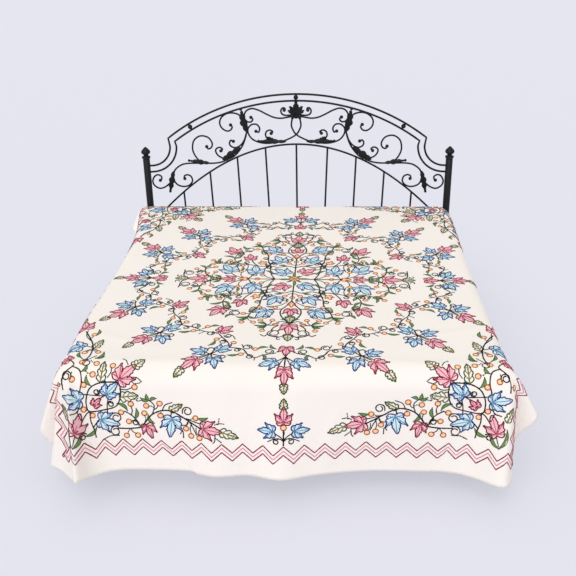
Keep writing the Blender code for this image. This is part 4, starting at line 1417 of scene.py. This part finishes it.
CORNER_MIDDLE: Motifs = (
    *each(Leaf, (BLUE, -734, -958, 48, 92), (PINK, -800, -1018, 45, 58), (PINK, -672, -888, 45, 114)),
    Serrated(-640, -858, -596, -812, 50), Leaf(PINK, -898, -1112, 68, 104),
    Vine(((-837, -980), (-820, -950), (-787, -929), (-746, -922), (-700, -924), (-688, -952), (-694, -998),
          (-714, -1032), (-760, -1048), (-834, -1058), (-846, -1020), (-837, -980)), 1),
    Vine(((-836, -980), (-790, -984), (-752, -984)), 0.8),
    Vine(((-834, -1058), (-850, -1066), (-870, -1090)), 0.9), Vine(((-780, -996), (-766, -988)), 0.9),
    Vine(((-716, -924), (-700, -912), (-688, -902)), 0.9),
    Vine(((-640, -900), (-618, -902), (-600, -916)), 0.8),
    Vine(((-664, -844), (-676, -822), (-690, -812)), 0.8),
    Vine(((-640, -918), (-626, -926), (-606, -922)), 0.8),
)


@dataclass(frozen=True)
class Border:
    """Three zigzag lines round the pattern, wine, rose and wine, one shifted squarely beside the next."""

    half_width: float = 1.005
    half_length: float = 1.239
    pitch: float = 0.0875
    depth: float = 0.041
    spacing: float = 0.0185
    wide: float = 0.85
    clear: float = 0.004
    samples: int = 4001

    def side(self, far: float, reach: float) -> Array:
        """One side's zigzag, which runs along the x axis and stops on the corners' diagonals.

        Args:
            far: Distance of its middle line from the pattern's middle.
            reach: Half length of the side between the diagonals.

        Returns:
            Its corners, from left to right.
        """
        count = int(2 * (reach + self.depth) / self.pitch) + 2
        steps = np.arange(-count, count + 1)
        places = steps * self.pitch / 2
        heights = far + np.where(steps % 2 == 0, -0.5, 0.5) * self.depth
        tries = np.linspace(0.0, reach + self.depth, self.samples)
        past = tries - reach > np.interp(tries, places, heights) - far
        end = tries[np.argmax(past)]
        kept = np.abs(places) < end - self.clear
        corner = np.interp(end, places, heights)
        return np.vstack([[-end, corner], np.column_stack([places[kept], heights[kept]]), [end, corner]])

    def sew(self, work: Needlework) -> None:
        """Sew the three lines.

        Args:
            work: Where their stitches are noted.
        """
        for row, wool in ((1, Wool.BORDER_WINE), (0, Wool.BORDER_ROSE), (-1, Wool.BORDER_WINE)):
            x, y = self.half_width + row * self.spacing, self.half_length + row * self.spacing
            foot, head = self.side(y, x) * (1.0, -1.0), self.side(y, x)[::-1]
            right, left = self.side(x, y)[:, ::-1], self.side(x, y)[::-1, ::-1] * (-1.0, 1.0)
            work.line(wool, np.vstack([foot, right, head, left]), self.wide, closed=True)


class StitchTree(LineTree):
    """The Geometry Nodes tree that sews lines: one wool stitch each step, lapping the last."""

    UNEVEN = {2: 0.88, 3: 1.12}
    FOOT = ((-0.5, 0.0), (-0.36, -0.45), (0.34, -0.5), (0.5, 0.0), (0.34, 0.5), (-0.36, 0.45))
    FACES = ((0, 1, 6), (1, 2, 7, 6), (2, 3, 7), (3, 4, 7), (4, 5, 6, 7), (5, 0, 6), (5, 4, 3, 2, 1, 0))

    def __init__(self) -> None:
        """Build the tree and the stitch that it repeats."""
        super().__init__("Stitches along lines", {"Stitch": "Object", "Wool": "Material", "Step": "Float",
                                                  "Lap": "Float", "Width": "Float", "Rise": "Float",
                                                  "Seed": "Int"})
        add, given = self.add, self.given
        even = add("GeometryNodeResampleCurve", {"Curve": self.curve, "Length": given["Step"]},
                   mode="LENGTH")
        tangent = add("GeometryNodeInputTangent").outputs["Tangent"]
        turn = add("FunctionNodeAlignRotationToVector", {"Vector": tangent}, axis="X", pivot_axis="Z")
        seed = {"Seed": given["Seed"]}
        uneven = add("FunctionNodeRandomValue", seed, self.UNEVEN, data_type="FLOAT").outputs[1]
        tone = add("FunctionNodeRandomValue", seed, data_type="FLOAT").outputs[1]
        size = add("ShaderNodeCombineXYZ", {
            "X": self.sum(given["Step"], given["Lap"], "MULTIPLY"),
            "Y": self.sum(self.sum(given["Width"], self.wide, "MULTIPLY"), uneven, "MULTIPLY"),
            "Z": self.sum(given["Rise"], uneven, "MULTIPLY")})
        thing = add("GeometryNodeObjectInfo", {"Object": given["Stitch"]}).outputs["Geometry"]
        sewn = add("GeometryNodeInstanceOnPoints", {"Points": even.outputs["Curve"], "Instance": thing,
                                                    "Rotation": turn.outputs["Rotation"],
                                                    "Scale": size.outputs["Vector"]})
        kept = add("GeometryNodeStoreNamedAttribute", {"Geometry": sewn.outputs["Instances"], "Value": tone},
                   {"Name": "tone"}, data_type="FLOAT", domain="INSTANCE")
        self.close(kept.outputs["Geometry"], given["Wool"])
        self.stitch = self.make_stitch()

    def make_stitch(self) -> Object:
        """A plump stitch one unit long, wide and high, with a flat foot and a rounded back.

        Returns:
            The loose stitch's object.
        """
        points = [(x, y, -0.25) for x, y in self.FOOT] + [(-0.33, 0.0, 0.92), (0.32, 0.0, 1.0)]
        stitch = bpy.data.objects.new("stitch", mesh_of(np.array(points), self.FACES))
        bpy.context.scene.collection.objects.link(stitch)
        stitch.data.polygons.foreach_set("use_smooth", [True] * len(self.FACES))
        return stitch

    def sew(self, lines: Sequence[Line], **values: object) -> Mesh:
        """Turn flat lines into stitches, with values for the tree's named inputs."""
        return self.run(lines, Stitch=self.stitch, **values)

    def put_away(self) -> None:
        """Remove the loose stitch that the tree repeated."""
        bpy.data.objects.remove(self.stitch, do_unlink=True)


@dataclass
class Embroidery:
    """The whole crewel embroidery: its layout, its sewing and its laying on the cloth."""

    sheet: Sheet
    pattern_shift: float = -0.020
    step: float = 0.0076
    lap: float = 1.30
    width: float = 0.0082
    rise: float = 0.0023
    hem_step: float = 0.0050
    hem_lap: float = 0.80
    hem_width: float = 0.0018
    hem_rise: float = 0.0009
    hem_inset: float = 0.0095
    hem_seed: int = 99
    work: Needlework = field(default_factory=Needlework)

    def draw(self) -> None:
        """Lay out every motif of the pattern."""
        corner, node = (Placing(shift=(-0.580, -0.580)),), (Placing(shift=(-0.325, -0.765)),)
        parts: list[tuple[Sequence[Motif], Sequence[Sequence[Placing]]]] = [
            (CENTRE, (HALF_TURN,)), (SOUTH_AXIS, (SOUTH_NORTH,)), (SOUTH_SIDES, (MIRRORS,)),
            (WEST_AXIS, (WEST_EAST,)), (WEST_SIDES, (MIRRORS,)), (QUARTER, (MIRRORS,)),
            (CLUSTER, (corner, MIRRORS)), (CLUSTER, (node, SWAPPED, MIRRORS)), (GARLAND, (SWAPPED, MIRRORS)),
            (KNOT, (MIRRORS,)), (FOOT_ARM, (CORNERS,)), (SIDE_ARM, (CORNERS,)), (CORNER_MIDDLE, (CORNERS,)),
        ]
        for motifs, levels in parts:
            placings = [Placing()]
            for level in levels:
                placings = [inner.inside(outer) for inner in placings for outer in level]
            for motif in motifs:
                for place in placings:
                    motif.sew(self.work, place)
        Border().sew(self.work)

    def keep(self, name: str, mesh: Mesh, material: Material,
             shift: float) -> Object:
        """Lay a flat mesh on the draped cloth and make it a piece.

        Args:
            name: The piece's name.
            mesh: Its mesh, in the pattern's coordinates.
            material: Its wool.
            shift: How far along the cloth the pattern lies.

        Returns:
            The piece's object.
        """
        flat = np.zeros(len(mesh.vertices) * 3)
        mesh.vertices.foreach_get("co", flat)
        flat = flat.reshape(-1, 3)
        flat[:, 1] += shift
        mesh.vertices.foreach_set("co", self.sheet.lay(flat).ravel())
        mesh.update()
        piece = link_mesh(name, mesh, material, smooth=75.0)
        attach(piece, "root")
        return piece

    def hem_line(self) -> Line:
        """The row of stitches that holds the turned hem."""
        x, y = self.sheet.width / 2 - self.hem_inset, self.sheet.length / 2 - self.hem_inset
        return Line(np.array([(-x, -y, 0.0), (x, -y, 0.0), (x, y, 0.0), (-x, y, 0.0)]), closed=True)

    def build(self) -> list[Object]:
        """Draw, sew and lay the embroidery.

        Returns:
            The finished pieces, one of stitches and one of fills for each wool that needs it.
        """
        self.draw()
        tree = StitchTree()
        wools = {wool: wool.material() for wool in Wool}
        pieces = []
        for seed, (wool, lines) in enumerate(self.work.lines.items()):
            mesh = tree.sew(lines, Wool=wools[wool], Seed=seed, Step=self.step, Lap=self.lap,
                            Width=self.width, Rise=self.rise)
            pieces.append(self.keep(f"stitches_{wool.name.lower()}", mesh, wools[wool], self.pattern_shift))
        mesh = tree.sew([self.hem_line()], Wool=wools[Wool.CREAM], Seed=self.hem_seed, Step=self.hem_step,
                        Lap=self.hem_lap, Width=self.hem_width, Rise=self.hem_rise)
        pieces.append(self.keep("hem_stitches", mesh, wools[Wool.CREAM], 0.0))
        tree.put_away()
        for wool, fills in self.work.fills.items():
            mesh = gathered(fills)
            pieces.append(self.keep(f"fill_{wool.name.lower()}", mesh, wools[wool], self.pattern_shift))
        return pieces


class RodTree(LineTree):
    """The Geometry Nodes tree that turns lines into round rods, closed at their ends."""

    def __init__(self) -> None:
        """Build the tree."""
        super().__init__("Rods along lines", {"Finish": "Material", "Radius": "Float", "Sides": "Int"})
        given = self.given
        ring = self.add("GeometryNodeCurvePrimitiveCircle",
                        {"Resolution": given["Sides"], "Radius": given["Radius"]}).outputs["Curve"]
        rod = self.add("GeometryNodeCurveToMesh", {"Curve": self.curve, "Profile Curve": ring,
                                                   "Scale": self.wide}, {"Fill Caps": True})
        self.close(rod.outputs["Mesh"], given["Finish"])


def turned(profile: Array, centre: tuple[float, float], steps: int) -> tuple[Array, Faces]:
    """Points and faces of a shape turned round an upright axis.

    Args:
        profile: Radius and height, from the lower pole to the upper one.
        centre: Where the axis stands.
        steps: Points round it.

    Returns:
        Its points and faces.
    """
    turn = np.linspace(0.0, 2 * math.pi, steps, endpoint=False)
    rings = [np.column_stack([centre[0] + radius * np.cos(turn), centre[1] + radius * np.sin(turn),
                              np.full(steps, height)]) for radius, height in profile[1:-1]]
    points = np.vstack([*rings, [(*centre, profile[0][1]), (*centre, profile[-1][1])]])
    return points, ring_faces(len(rings), steps, len(points) - 2, len(points) - 1)


def ball_profile(radius: float, steps: int, height: float) -> Array:
    """Radius and height down the side of a ball whose middle is at a height above the bed top."""
    turn = np.linspace(-math.pi / 2, math.pi / 2, steps)
    return radius * np.column_stack([np.cos(turn), np.sin(turn)]) + (0.0, BED_TOP + height)


@dataclass(frozen=True)
class ForgedLeaf:
    """A forged leaf with toothed edges and a raised midrib, by its foot, tip and half width."""

    foot_x: float
    foot_z: float
    tip_x: float
    tip_z: float
    half_width: float
    thickness: float = 14
    lean: float = 0

    TEETH = ((0.03, 0.24), (0.10, 0.46), (0.18, 0.66), (0.25, 0.60), (0.30, 0.52), (0.37, 0.84),
             (0.46, 1.0), (0.55, 0.80), (0.60, 0.56), (0.67, 0.74), (0.75, 0.80), (0.83, 0.52),
             (0.88, 0.36), (0.93, 0.42), (0.98, 0.26))
    RIB_START = 0.12
    SHOULDER = 0.45

    def parts(self, side: float) -> tuple[Array, Faces]:
        """Points and faces of the leaf on one half of the headboard.

        Args:
            side: 1 for the right half, -1 for the left.

        Returns:
            Its points and faces.
        """
        foot_x, foot_z, tip_x, tip_z = metres(self.foot_x, self.foot_z, self.tip_x, self.tip_z)
        half_width, thickness, lean = metres(self.half_width, self.thickness, self.lean)
        foot = np.array([side * foot_x, HEAD_Y, BED_TOP + foot_z])
        along = np.array([side * tip_x, HEAD_Y, BED_TOP + tip_z]) - foot
        depth = np.array([0.0, 1.0, 0.0])
        across = np.cross(along, depth)
        across = across / np.linalg.norm(across)
        t = np.array([0.0, *(place for place, _ in self.TEETH), 1.0])
        reach = half_width * np.array([0.0, *(width for _, width in self.TEETH), 0.0])
        bow = across[None] * (lean * side * 4 * t * (1 - t))[:, None]
        middle = foot + along * t[:, None] + bow
        rib = thickness / 2 * np.sin(math.pi * (self.RIB_START + (1.0 - 2 * self.RIB_START) * t))
        rise, shoulder = depth * rib[:, None], depth * (rib * self.SHOULDER)[:, None]
        rows = []
        for way in (1.0, -1.0):
            half = middle + across * (reach * way * 0.5)[:, None]
            rows += [middle + across * (reach * way)[:, None], half - shoulder, half + shoulder]
        grid = [rows[0], rows[1], middle - rise, rows[4], rows[3], rows[5], middle + rise, rows[2]]
        count, lanes = len(t), len(grid)
        faces = []
        for lane in range(lanes):
            here, following = lane * count, (lane + 1) % lanes * count
            faces += [(here + index, here + index + 1, following + index + 1, following + index)
                      for index in range(count - 1)]
        return np.vstack(grid), faces


SCROLLS: dict[str, tuple[tuple[float, float], ...]] = {
    "post": ((782, 150), (825, 112), (865, 98), (899, 117), (908, 148), (893, 178), (872, 187),
        (853, 178), (850, 163), (860, 151)),
    "long": ((774, 180), (762, 218), (722, 250), (676, 261), (600, 262), (516, 262), (465, 270),
        (425, 286)),
    "loop": ((774, 205), (772, 153), (752, 122), (713, 110), (678, 119), (657, 145), (663, 175),
        (686, 187), (706, 178), (704, 162)),
    "crook": ((592, 265), (624, 302), (642, 348), (635, 399), (608, 428), (576, 436), (539, 423),
        (519, 389), (526, 362), (546, 354), (554, 368)),
    "curl": ((430, 284), (479, 306), (499, 334), (495, 354), (473, 363), (457, 352), (467, 341)),
    "stem": ((435, 282), (380, 312), (334, 370), (311, 427), (303, 465), (300, 500), (312, 540)),
    "hook": ((307, 446), (320, 408), (343, 377), (375, 361), (403, 370), (412, 390), (402, 407),
        (387, 401)),
    "ring": ((318, 535), (348, 566), (387, 577), (425, 571), (454, 549), (466, 519), (457, 488),
        (430, 467), (405, 469), (391, 488), (400, 503)),
    "wave": ((10, 556), (42, 551), (92, 543), (135, 549), (178, 568), (220, 590), (263, 603), (297, 592),
        (314, 566), (312, 542), (298, 524), (276, 521), (263, 536), (274, 549)),
    "heart": ((-18, 560), (-29, 505), (-19, 470), (3, 440), (51, 413), (95, 398), (145, 390), (189, 388),
        (233, 396), (270, 415), (293, 449), (293, 482), (270, 505), (240, 505), (223, 482), (230, 458),
        (246, 463)),
    "sprig": ((158, 388), (176, 414), (188, 439), (181, 462), (160, 470), (144, 460), (153, 450)),
    "crest": ((30, 562), (66, 561), (86, 571), (91, 590), (80, 606), (66, 602), (71, 592)),
}

SCROLL_LEAVES: tuple[ForgedLeaf, ...] = (
    ForgedLeaf(772, 212, 802, 80, 21), ForgedLeaf(540, 262, 664, 278, 18),
    ForgedLeaf(462, 282, 342, 362, 23), ForgedLeaf(300, 455, 330, 590, 25, lean=-6),
    ForgedLeaf(60, 398, 226, 402, 17), ForgedLeaf(130, 398, 178, 428, 14),
)

LEAF_KNOBS: tuple[tuple[float, float], ...] = ((334, 597), (802, 78), (232, 402), (669, 279))

CREST_LEAVES: tuple[ForgedLeaf, ...] = (
    ForgedLeaf(0, 540, 0, 646, 23, 22), ForgedLeaf(2, 540, 40, 616, 21, 18, lean=10),
    ForgedLeaf(2, 548, 50, 592, 15, 16, lean=4), ForgedLeaf(2, 556, 44, 560, 14, 16),
    ForgedLeaf(0, 566, 30, 538, 13, 14),
)


@dataclass
class Ironwork:
    """The wrought-iron headboard, made finely in the places of its solids."""

    tree: RodTree
    finish: Material
    post_x: float = 0.937
    post_radius: float = 0.0215
    post_top: float = 0.292
    post_edge: float = 0.002
    rail_radius: float = 0.0061
    bar_radius: float = 0.0058
    scroll_radius: float = 0.0053
    bulb_radius: float = 0.0108
    arc_radius: float = 1.300
    arc_top: float = 0.689
    rail_spacing: float = 0.040
    shoulder_x: float = 0.907
    shoulder_z: float = 0.372
    shoulder_radius: float = 0.125
    shoulder_lean: float = 0.008
    ball_x: float = 0.649
    ball_radius: float = 0.0142
    arch_top: float = 0.382
    arch_fall: float = 0.60
    bar_count: int = 9
    bar_pitch: float = 0.178
    bar_lean: float = 0.035
    bar_foot: float = -0.3947
    clearance: float = 0.0003
    arch_gap: float = 0.0047
    bar_inset: float = 0.6
    knob_share: float = 0.8

    FINIAL = ((0, 292.3), (22, 292.5), (24, 295), (27, 299), (26.5, 303), (24, 307), (16.5, 310), (14, 313),
              (14.2, 316), (16, 319), (22, 323), (26, 327), (28, 331), (28.5, 336), (26.5, 342), (23, 347),
              (16, 354), (11, 360), (6, 365), (0, 368))
    COLLAR = ((0, 636), (8, 637), (11, 640), (8, 643), (0, 644))
    BULB = ((-0.92, 0.55), (-0.62, 0.80), (-0.22, 0.98), (0.22, 0.98), (0.60, 0.80), (0.86, 0.51),
            (0.98, 0.20))
    SMOOTH = ("long", "stem")

    def spot(self, x: float, height: float) -> tuple[float, float, float]:
        """A point in the headboard's plane, at a height above the bed top."""
        return x, HEAD_Y, BED_TOP + height

    def rail_line(self, inset: float) -> Array:
        """Middle of an arched rail from post to post.

        Args:
            inset: How far it lies inside the outer rail.

        Returns:
            Its points, from left to right.
        """
        radius, shoulder = self.arc_radius - inset, self.shoulder_radius + inset
        centre_z = self.arc_top - self.arc_radius
        reach = math.asin((self.shoulder_x - shoulder + self.shoulder_lean) / radius)
        arc = [self.spot(radius * math.sin(turn), centre_z + radius * math.cos(turn))
               for turn in np.linspace(0, reach, 31)]
        curve = [self.spot(self.shoulder_x + shoulder * math.cos(turn),
                           self.shoulder_z + shoulder * math.sin(turn))
                 for turn in np.linspace(math.pi, 1.5 * math.pi, 15)]
        end = self.spot(self.post_x - self.post_radius - self.clearance, self.shoulder_z - shoulder)
        half = np.array([*arc, *curve, end])
        return np.vstack([half[:0:-1] * (-1.0, 1.0, 1.0), half])

    def arch_height(self, x: float) -> float:
        """Height of the lower arch above the bed top."""
        return self.arch_top - self.arch_fall * x**2

    def scroll(self, name: str, side: float) -> Line:
        """One scroll's line, which swells into a round bulb at its end unless it runs out smoothly.

        Args:
            name: The scroll's name.
            side: 1 for the right half, -1 for the left.

        Returns:
            Its line.
        """
        line = spline([self.spot(side * x, z) for x, z in metres(*SCROLLS[name])], 8)
        wide = np.ones(len(line))
        if name not in self.SMOOTH:
            end = line[-1]
            heading = (end - line[-3]) / np.linalg.norm(end - line[-3])
            bulb = [end + heading * self.bulb_radius * run for run, _ in self.BULB]
            sizes = [self.bulb_radius / self.scroll_radius * size for _, size in self.BULB]
            line, wide = np.vstack([line[:-2], bulb]), np.concatenate([wide[:-2], sizes])
        return Line(line, wide)

    def place(self, name: str, mesh: Mesh, *nodes: str) -> Object:
        """Make a mesh a piece that stands for nodes of the headboard.

        Args:
            name: The piece's name.
            mesh: Its mesh.
            nodes: The nodes that it replaces.

        Returns:
            The piece's object.
        """
        piece = link_mesh(name, mesh, self.finish, smooth=50.0)
        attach(piece, "root")
        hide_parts(*nodes)
        return piece

    def rods(self, lines: Sequence[Line], radius: float, sides: int = 16) -> Mesh:
        """Iron rods along lines."""
        return self.tree.run(lines, Finish=self.finish, Radius=radius, Sides=sides)

    def lathed(self, profile: Array, *places: float, steps: int = 48) -> Mesh:
        """A shape turned round upright axes at places across the headboard."""
        return gathered(turned(profile, (x, HEAD_Y), steps) for x in places)

    def scrollwork(self) -> Mesh:
        """Scrolls, forged leaves and the crest, as one welded mesh.

        Returns:
            The mesh.
        """
        sides = (1.0, -1.0)
        scrolls = self.rods([self.scroll(name, side) for name in SCROLLS for side in sides],
                            self.scroll_radius, sides=12)
        cast = [leaf.parts(side) for leaf in (*SCROLL_LEAVES, *CREST_LEAVES[1:]) for side in sides]
        cast.append(CREST_LEAVES[0].parts(1.0))
        for x, z in metres(*LEAF_KNOBS):
            knob = ball_profile(self.bulb_radius * self.knob_share, 9, z)
            cast += [turned(knob, (x * side, HEAD_Y), 16) for side in sides]
        cast.append(turned(metres(*self.COLLAR) + (0.0, BED_TOP), (0.0, HEAD_Y), 20))
        return joined(scrolls, gathered(cast))

    def bar(self, place: int) -> Line:
        """An upright bar, by its place counted from the middle one.

        Args:
            place: Its place, less than 0 on the left.

        Returns:
            Its line, from its foot up.
        """
        lean = math.copysign(self.bar_lean, place) if place else 0.0
        middle_x = place * self.bar_pitch
        top_x = middle_x + lean * self.arch_height(middle_x)
        top = self.spot(top_x, self.arch_height(top_x) - self.bar_radius * self.bar_inset)
        return Line(np.linspace(self.spot(middle_x + lean * self.bar_foot, self.bar_foot), top, 6))

    def build(self) -> list[Object]:
        """Make the headboard's pieces.

        Returns:
            The finished pieces.
        """
        edge, radius, top = self.post_edge, self.post_radius, BED_TOP + self.post_top
        post = np.array([(0.0, 0.0), (radius - edge, 0.0), (radius, edge), (radius, top - edge),
                         (radius - edge, top), (0.0, top)])
        finial = metres(*self.FINIAL) + (0.0, BED_TOP)
        rails = [Line(self.rail_line(inset)) for inset in (0.0, self.rail_spacing)]
        end = self.post_x - radius - self.arch_gap
        arch = Line(np.array([self.spot(x, self.arch_height(x)) for x in np.linspace(-end, end, 65)]))
        outermost = self.bar_count // 2
        bars = [self.bar(place) for place in range(-outermost, outermost + 1)]
        middle, centre_z = self.arc_radius - self.rail_spacing / 2, self.arc_top - self.arc_radius
        balls = gathered(turned(ball_profile(self.ball_radius, 17, centre_z + math.sqrt(middle**2 - x**2)),
                                (x, HEAD_Y), 32) for x in (-self.ball_x, 0.0, self.ball_x))
        return [
            self.place("turned_posts", self.lathed(post, -self.post_x, self.post_x),
                       "post_left", "post_right"),
            self.place("turned_finials", self.lathed(finial, -self.post_x, self.post_x),
                       "finial_left", "finial_right"),
            self.place("arched_rails", self.rods(rails, self.rail_radius), "outer_rail", "inner_rail"),
            self.place("low_arch", self.rods([arch], self.bar_radius), "lower_arch"),
            self.place("upright_bars", self.rods(bars, self.bar_radius),
                       *(f"bar_{index + 1}" for index in range(self.bar_count))),
            self.place("round_balls", balls, "rail_ball_left", "rail_ball_middle", "rail_ball_right"),
            self.place("forged_scrollwork", self.scrollwork(), "scrollwork"),
        ]


@dataclass
class Padded:
    """A padded box with softly rounded edges, swelling sides, tufts and piping round its edges."""

    name: str
    node: str
    finish: TickingFinish
    tree: RodTree
    low: tuple[float, float, float]
    high: tuple[float, float, float]
    edge: float = 0.040
    swell: float = 0.003
    tuft_pitch: float = 0.16
    tuft_depth: float = 0.004
    tuft_power: int = 6
    piping: float = 0.0035
    grid: float = 0.026
    rim_radius: float = 0.55
    rim_shift: float = 0.28
    rim_drop: float = 0.30

    def lines(self, half: float) -> Array:
        """Grid lines of one axis, closer together over the rounded edges.

        Args:
            half: Half the size on that axis.

        Returns:
            Their places.
        """
        core = half - self.edge
        count = max(2, round(2 * core / self.grid))
        rim = self.edge * np.array([1.0, 0.75, 0.5, 0.25])
        return np.concatenate([-core - rim, np.linspace(-core, core, count + 1), core + rim[::-1]])

    def face(self, axis: int, way: float, half: Array) -> tuple[Array, Array]:
        """One of the six faces as a grid.

        Args:
            axis: The axis that it faces along.
            way: 1 for the face on the high side, -1 for the other.
            half: Half sizes of the box.

        Returns:
            Its points round the box's middle, and its faces.
        """
        first, second = [other for other in range(3) if other != axis]
        a, b = np.meshgrid(self.lines(half[first]), self.lines(half[second]), indexing="ij")
        cube = np.zeros((a.size, 3))
        cube[:, first], cube[:, second], cube[:, axis] = a.ravel(), b.ravel(), way * half[axis]
        core = np.clip(cube, self.edge - half, half - self.edge)
        out = cube - core
        out = out / np.maximum(np.linalg.norm(out, axis=1, keepdims=True), TINY)
        spots = core + self.edge * out
        level = np.abs(out[:, 2])
        middle = np.cos(math.pi / 2 * spots[:, 2] / half[2])
        tuft = np.prod(np.cos(math.pi * spots[:, :2] / self.tuft_pitch), axis=1)
        sink = level * self.tuft_depth * np.abs(tuft) ** self.tuft_power
        spots = spots + out * ((1.0 - level) * self.swell * middle - sink - self.swell)[:, None]
        return spots, grid_faces(*a.shape)

    def rim(self, half: Array, height: float) -> Array:
        """The closed line that the piping follows round the box at a height from its middle.

        Args:
            half: Half sizes of the box.
            height: The height.

        Returns:
            Its points, one a row.
        """
        turn = np.linspace(0.0, math.pi / 2, 9)
        corners = []
        for quarter, (x, y) in enumerate(((1, 1), (-1, 1), (-1, -1), (1, -1))):
            angle = turn + quarter * math.pi / 2
            centre = np.array([x, y]) * (half[:2] - self.edge * (1.0 - self.rim_shift))
            bend = self.edge * self.rim_radius * np.column_stack([np.cos(angle), np.sin(angle)])
            corners.append(np.column_stack([centre + bend, np.full(len(turn), height)]))
        return np.vstack(corners)

    def build(self) -> Object:
        """Returns:
            Its object.
        """
        low, high = np.array(self.low), np.array(self.high)
        half, middle = (high - low) / 2, (high + low) / 2
        material = self.finish.material()
        height = half[2] - self.edge * self.rim_drop - self.swell
        rims = [Line(self.rim(half, level) + middle, closed=True) for level in (height, -height)]
        piping = self.tree.run(rims, Finish=material, Radius=self.piping, Sides=8)
        sides = [self.face(axis, way, half) for axis in range(3) for way in (1.0, -1.0)]
        box = gathered(((spots + middle, faces) for spots, faces in sides), weld=1e-5)
        piece = link_mesh(self.name, joined(box, piping), material, smooth=60.0)
        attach(piece, "root")
        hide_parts(self.node)
        return piece


@dataclass
class Studio:
    """Camera at the photo's angle, a plain pale floor and soft light."""

    place: tuple[float, float, float] = (0.2026, -3.9691, 2.4187)
    pitch: float = 25.626
    yaw: float = -3.066
    roll: float = -1.0005
    focal_pixels: float = 841.12
    image_pixels: float = 576.0
    sensor: float = 36.0
    glow: float = 0.75
    sun: float = 1.35
    sun_spread: float = 60.0
    sun_way: tuple[float, float, float] = (0.22, 0.92, -1.0)
    floor_reach: float = 30.0

    def camera(self) -> None:
        """Make the scene's camera."""
        pitch, yaw, roll = (math.radians(angle) for angle in (self.pitch, self.yaw, self.roll))
        ahead = Vector((math.sin(yaw) * math.cos(pitch), math.cos(yaw) * math.cos(pitch), -math.sin(pitch)))
        level = Vector((math.cos(yaw), -math.sin(yaw), 0.0))
        upright = level.cross(ahead)
        right = level * math.cos(roll) + upright * math.sin(roll)
        up = upright * math.cos(roll) - level * math.sin(roll)
        lens = bpy.data.cameras.new("camera")
        lens.lens = self.focal_pixels / self.image_pixels * self.sensor
        lens.sensor_width = self.sensor
        eye = bpy.data.objects.new("camera", lens)
        turn = Matrix((right, up, -ahead)).transposed().to_4x4()
        eye.matrix_world = Matrix.Translation(self.place) @ turn
        bpy.context.scene.collection.objects.link(eye)
        bpy.context.scene.camera = eye

    def floor(self) -> None:
        """Make the floor."""
        corners = self.floor_reach * np.array([(-1, -1, 0), (1, -1, 0), (1, 1, 0), (-1, 1, 0)])
        mesh = mesh_of(corners, [(0, 1, 2, 3)], outwards=False)
        link_mesh("floor", mesh, StageFinish().material())

    def light(self) -> None:
        """Make the wide, soft light from high in front."""
        lamp = bpy.data.lights.new("soft_front_light", "SUN")
        lamp.energy = self.sun
        lamp.angle = math.radians(self.sun_spread)
        stand = bpy.data.objects.new("soft_front_light", lamp)
        stand.rotation_euler = Vector(self.sun_way).to_track_quat("-Z", "Y").to_euler()
        bpy.context.scene.collection.objects.link(stand)

    def build(self) -> None:
        """Make camera, floor, light and the room's even glow."""
        self.camera()
        self.floor()
        self.light()
        world = bpy.data.worlds.new("glow")
        world.use_nodes = True
        background = world.node_tree.nodes["Background"]
        background.inputs["Color"].default_value = (1.0, 1.0, 1.0, 1.0)
        background.inputs["Strength"].default_value = self.glow
        bpy.context.scene.world = world
        bpy.context.scene.view_settings.view_transform = "Standard"


def main() -> None:
    """Build studio, cloth, embroidery, bed and headboard in order, and report each piece."""
    logging.basicConfig(level=logging.INFO, format="%(message)s")
    Studio().build()
    sheet = Sheet()
    pieces = [sheet.build()]
    pieces += Embroidery(sheet).build()
    iron = IronFinish().material()
    rods = RodTree()
    pieces += Ironwork(rods, iron).build()
    base_finish = TickingFinish("base_ticking", rgb("DEDCD6"), rgb("B9BEC6"))
    for name, finish in (("mattress", TickingFinish()), ("box_base", base_finish)):
        low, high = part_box(name)
        pieces.append(Padded(f"padded_{name}", name, finish, rods, tuple(low), tuple(high)).build())
    for name in ("head_rail", "side_rail_left", "side_rail_right", "foot_rail", "centre_beam",
                 "foot_leg_left", "foot_leg_right", "centre_leg"):
        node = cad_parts[name]
        node.data.materials.clear()
        node.data.materials.append(iron)
    for piece in pieces:
        piece.data.calc_loop_triangles()
        LOG.info("%s: %d triangles", piece.name, len(piece.data.loop_triangles))


if __name__ == "__main__":
    main()
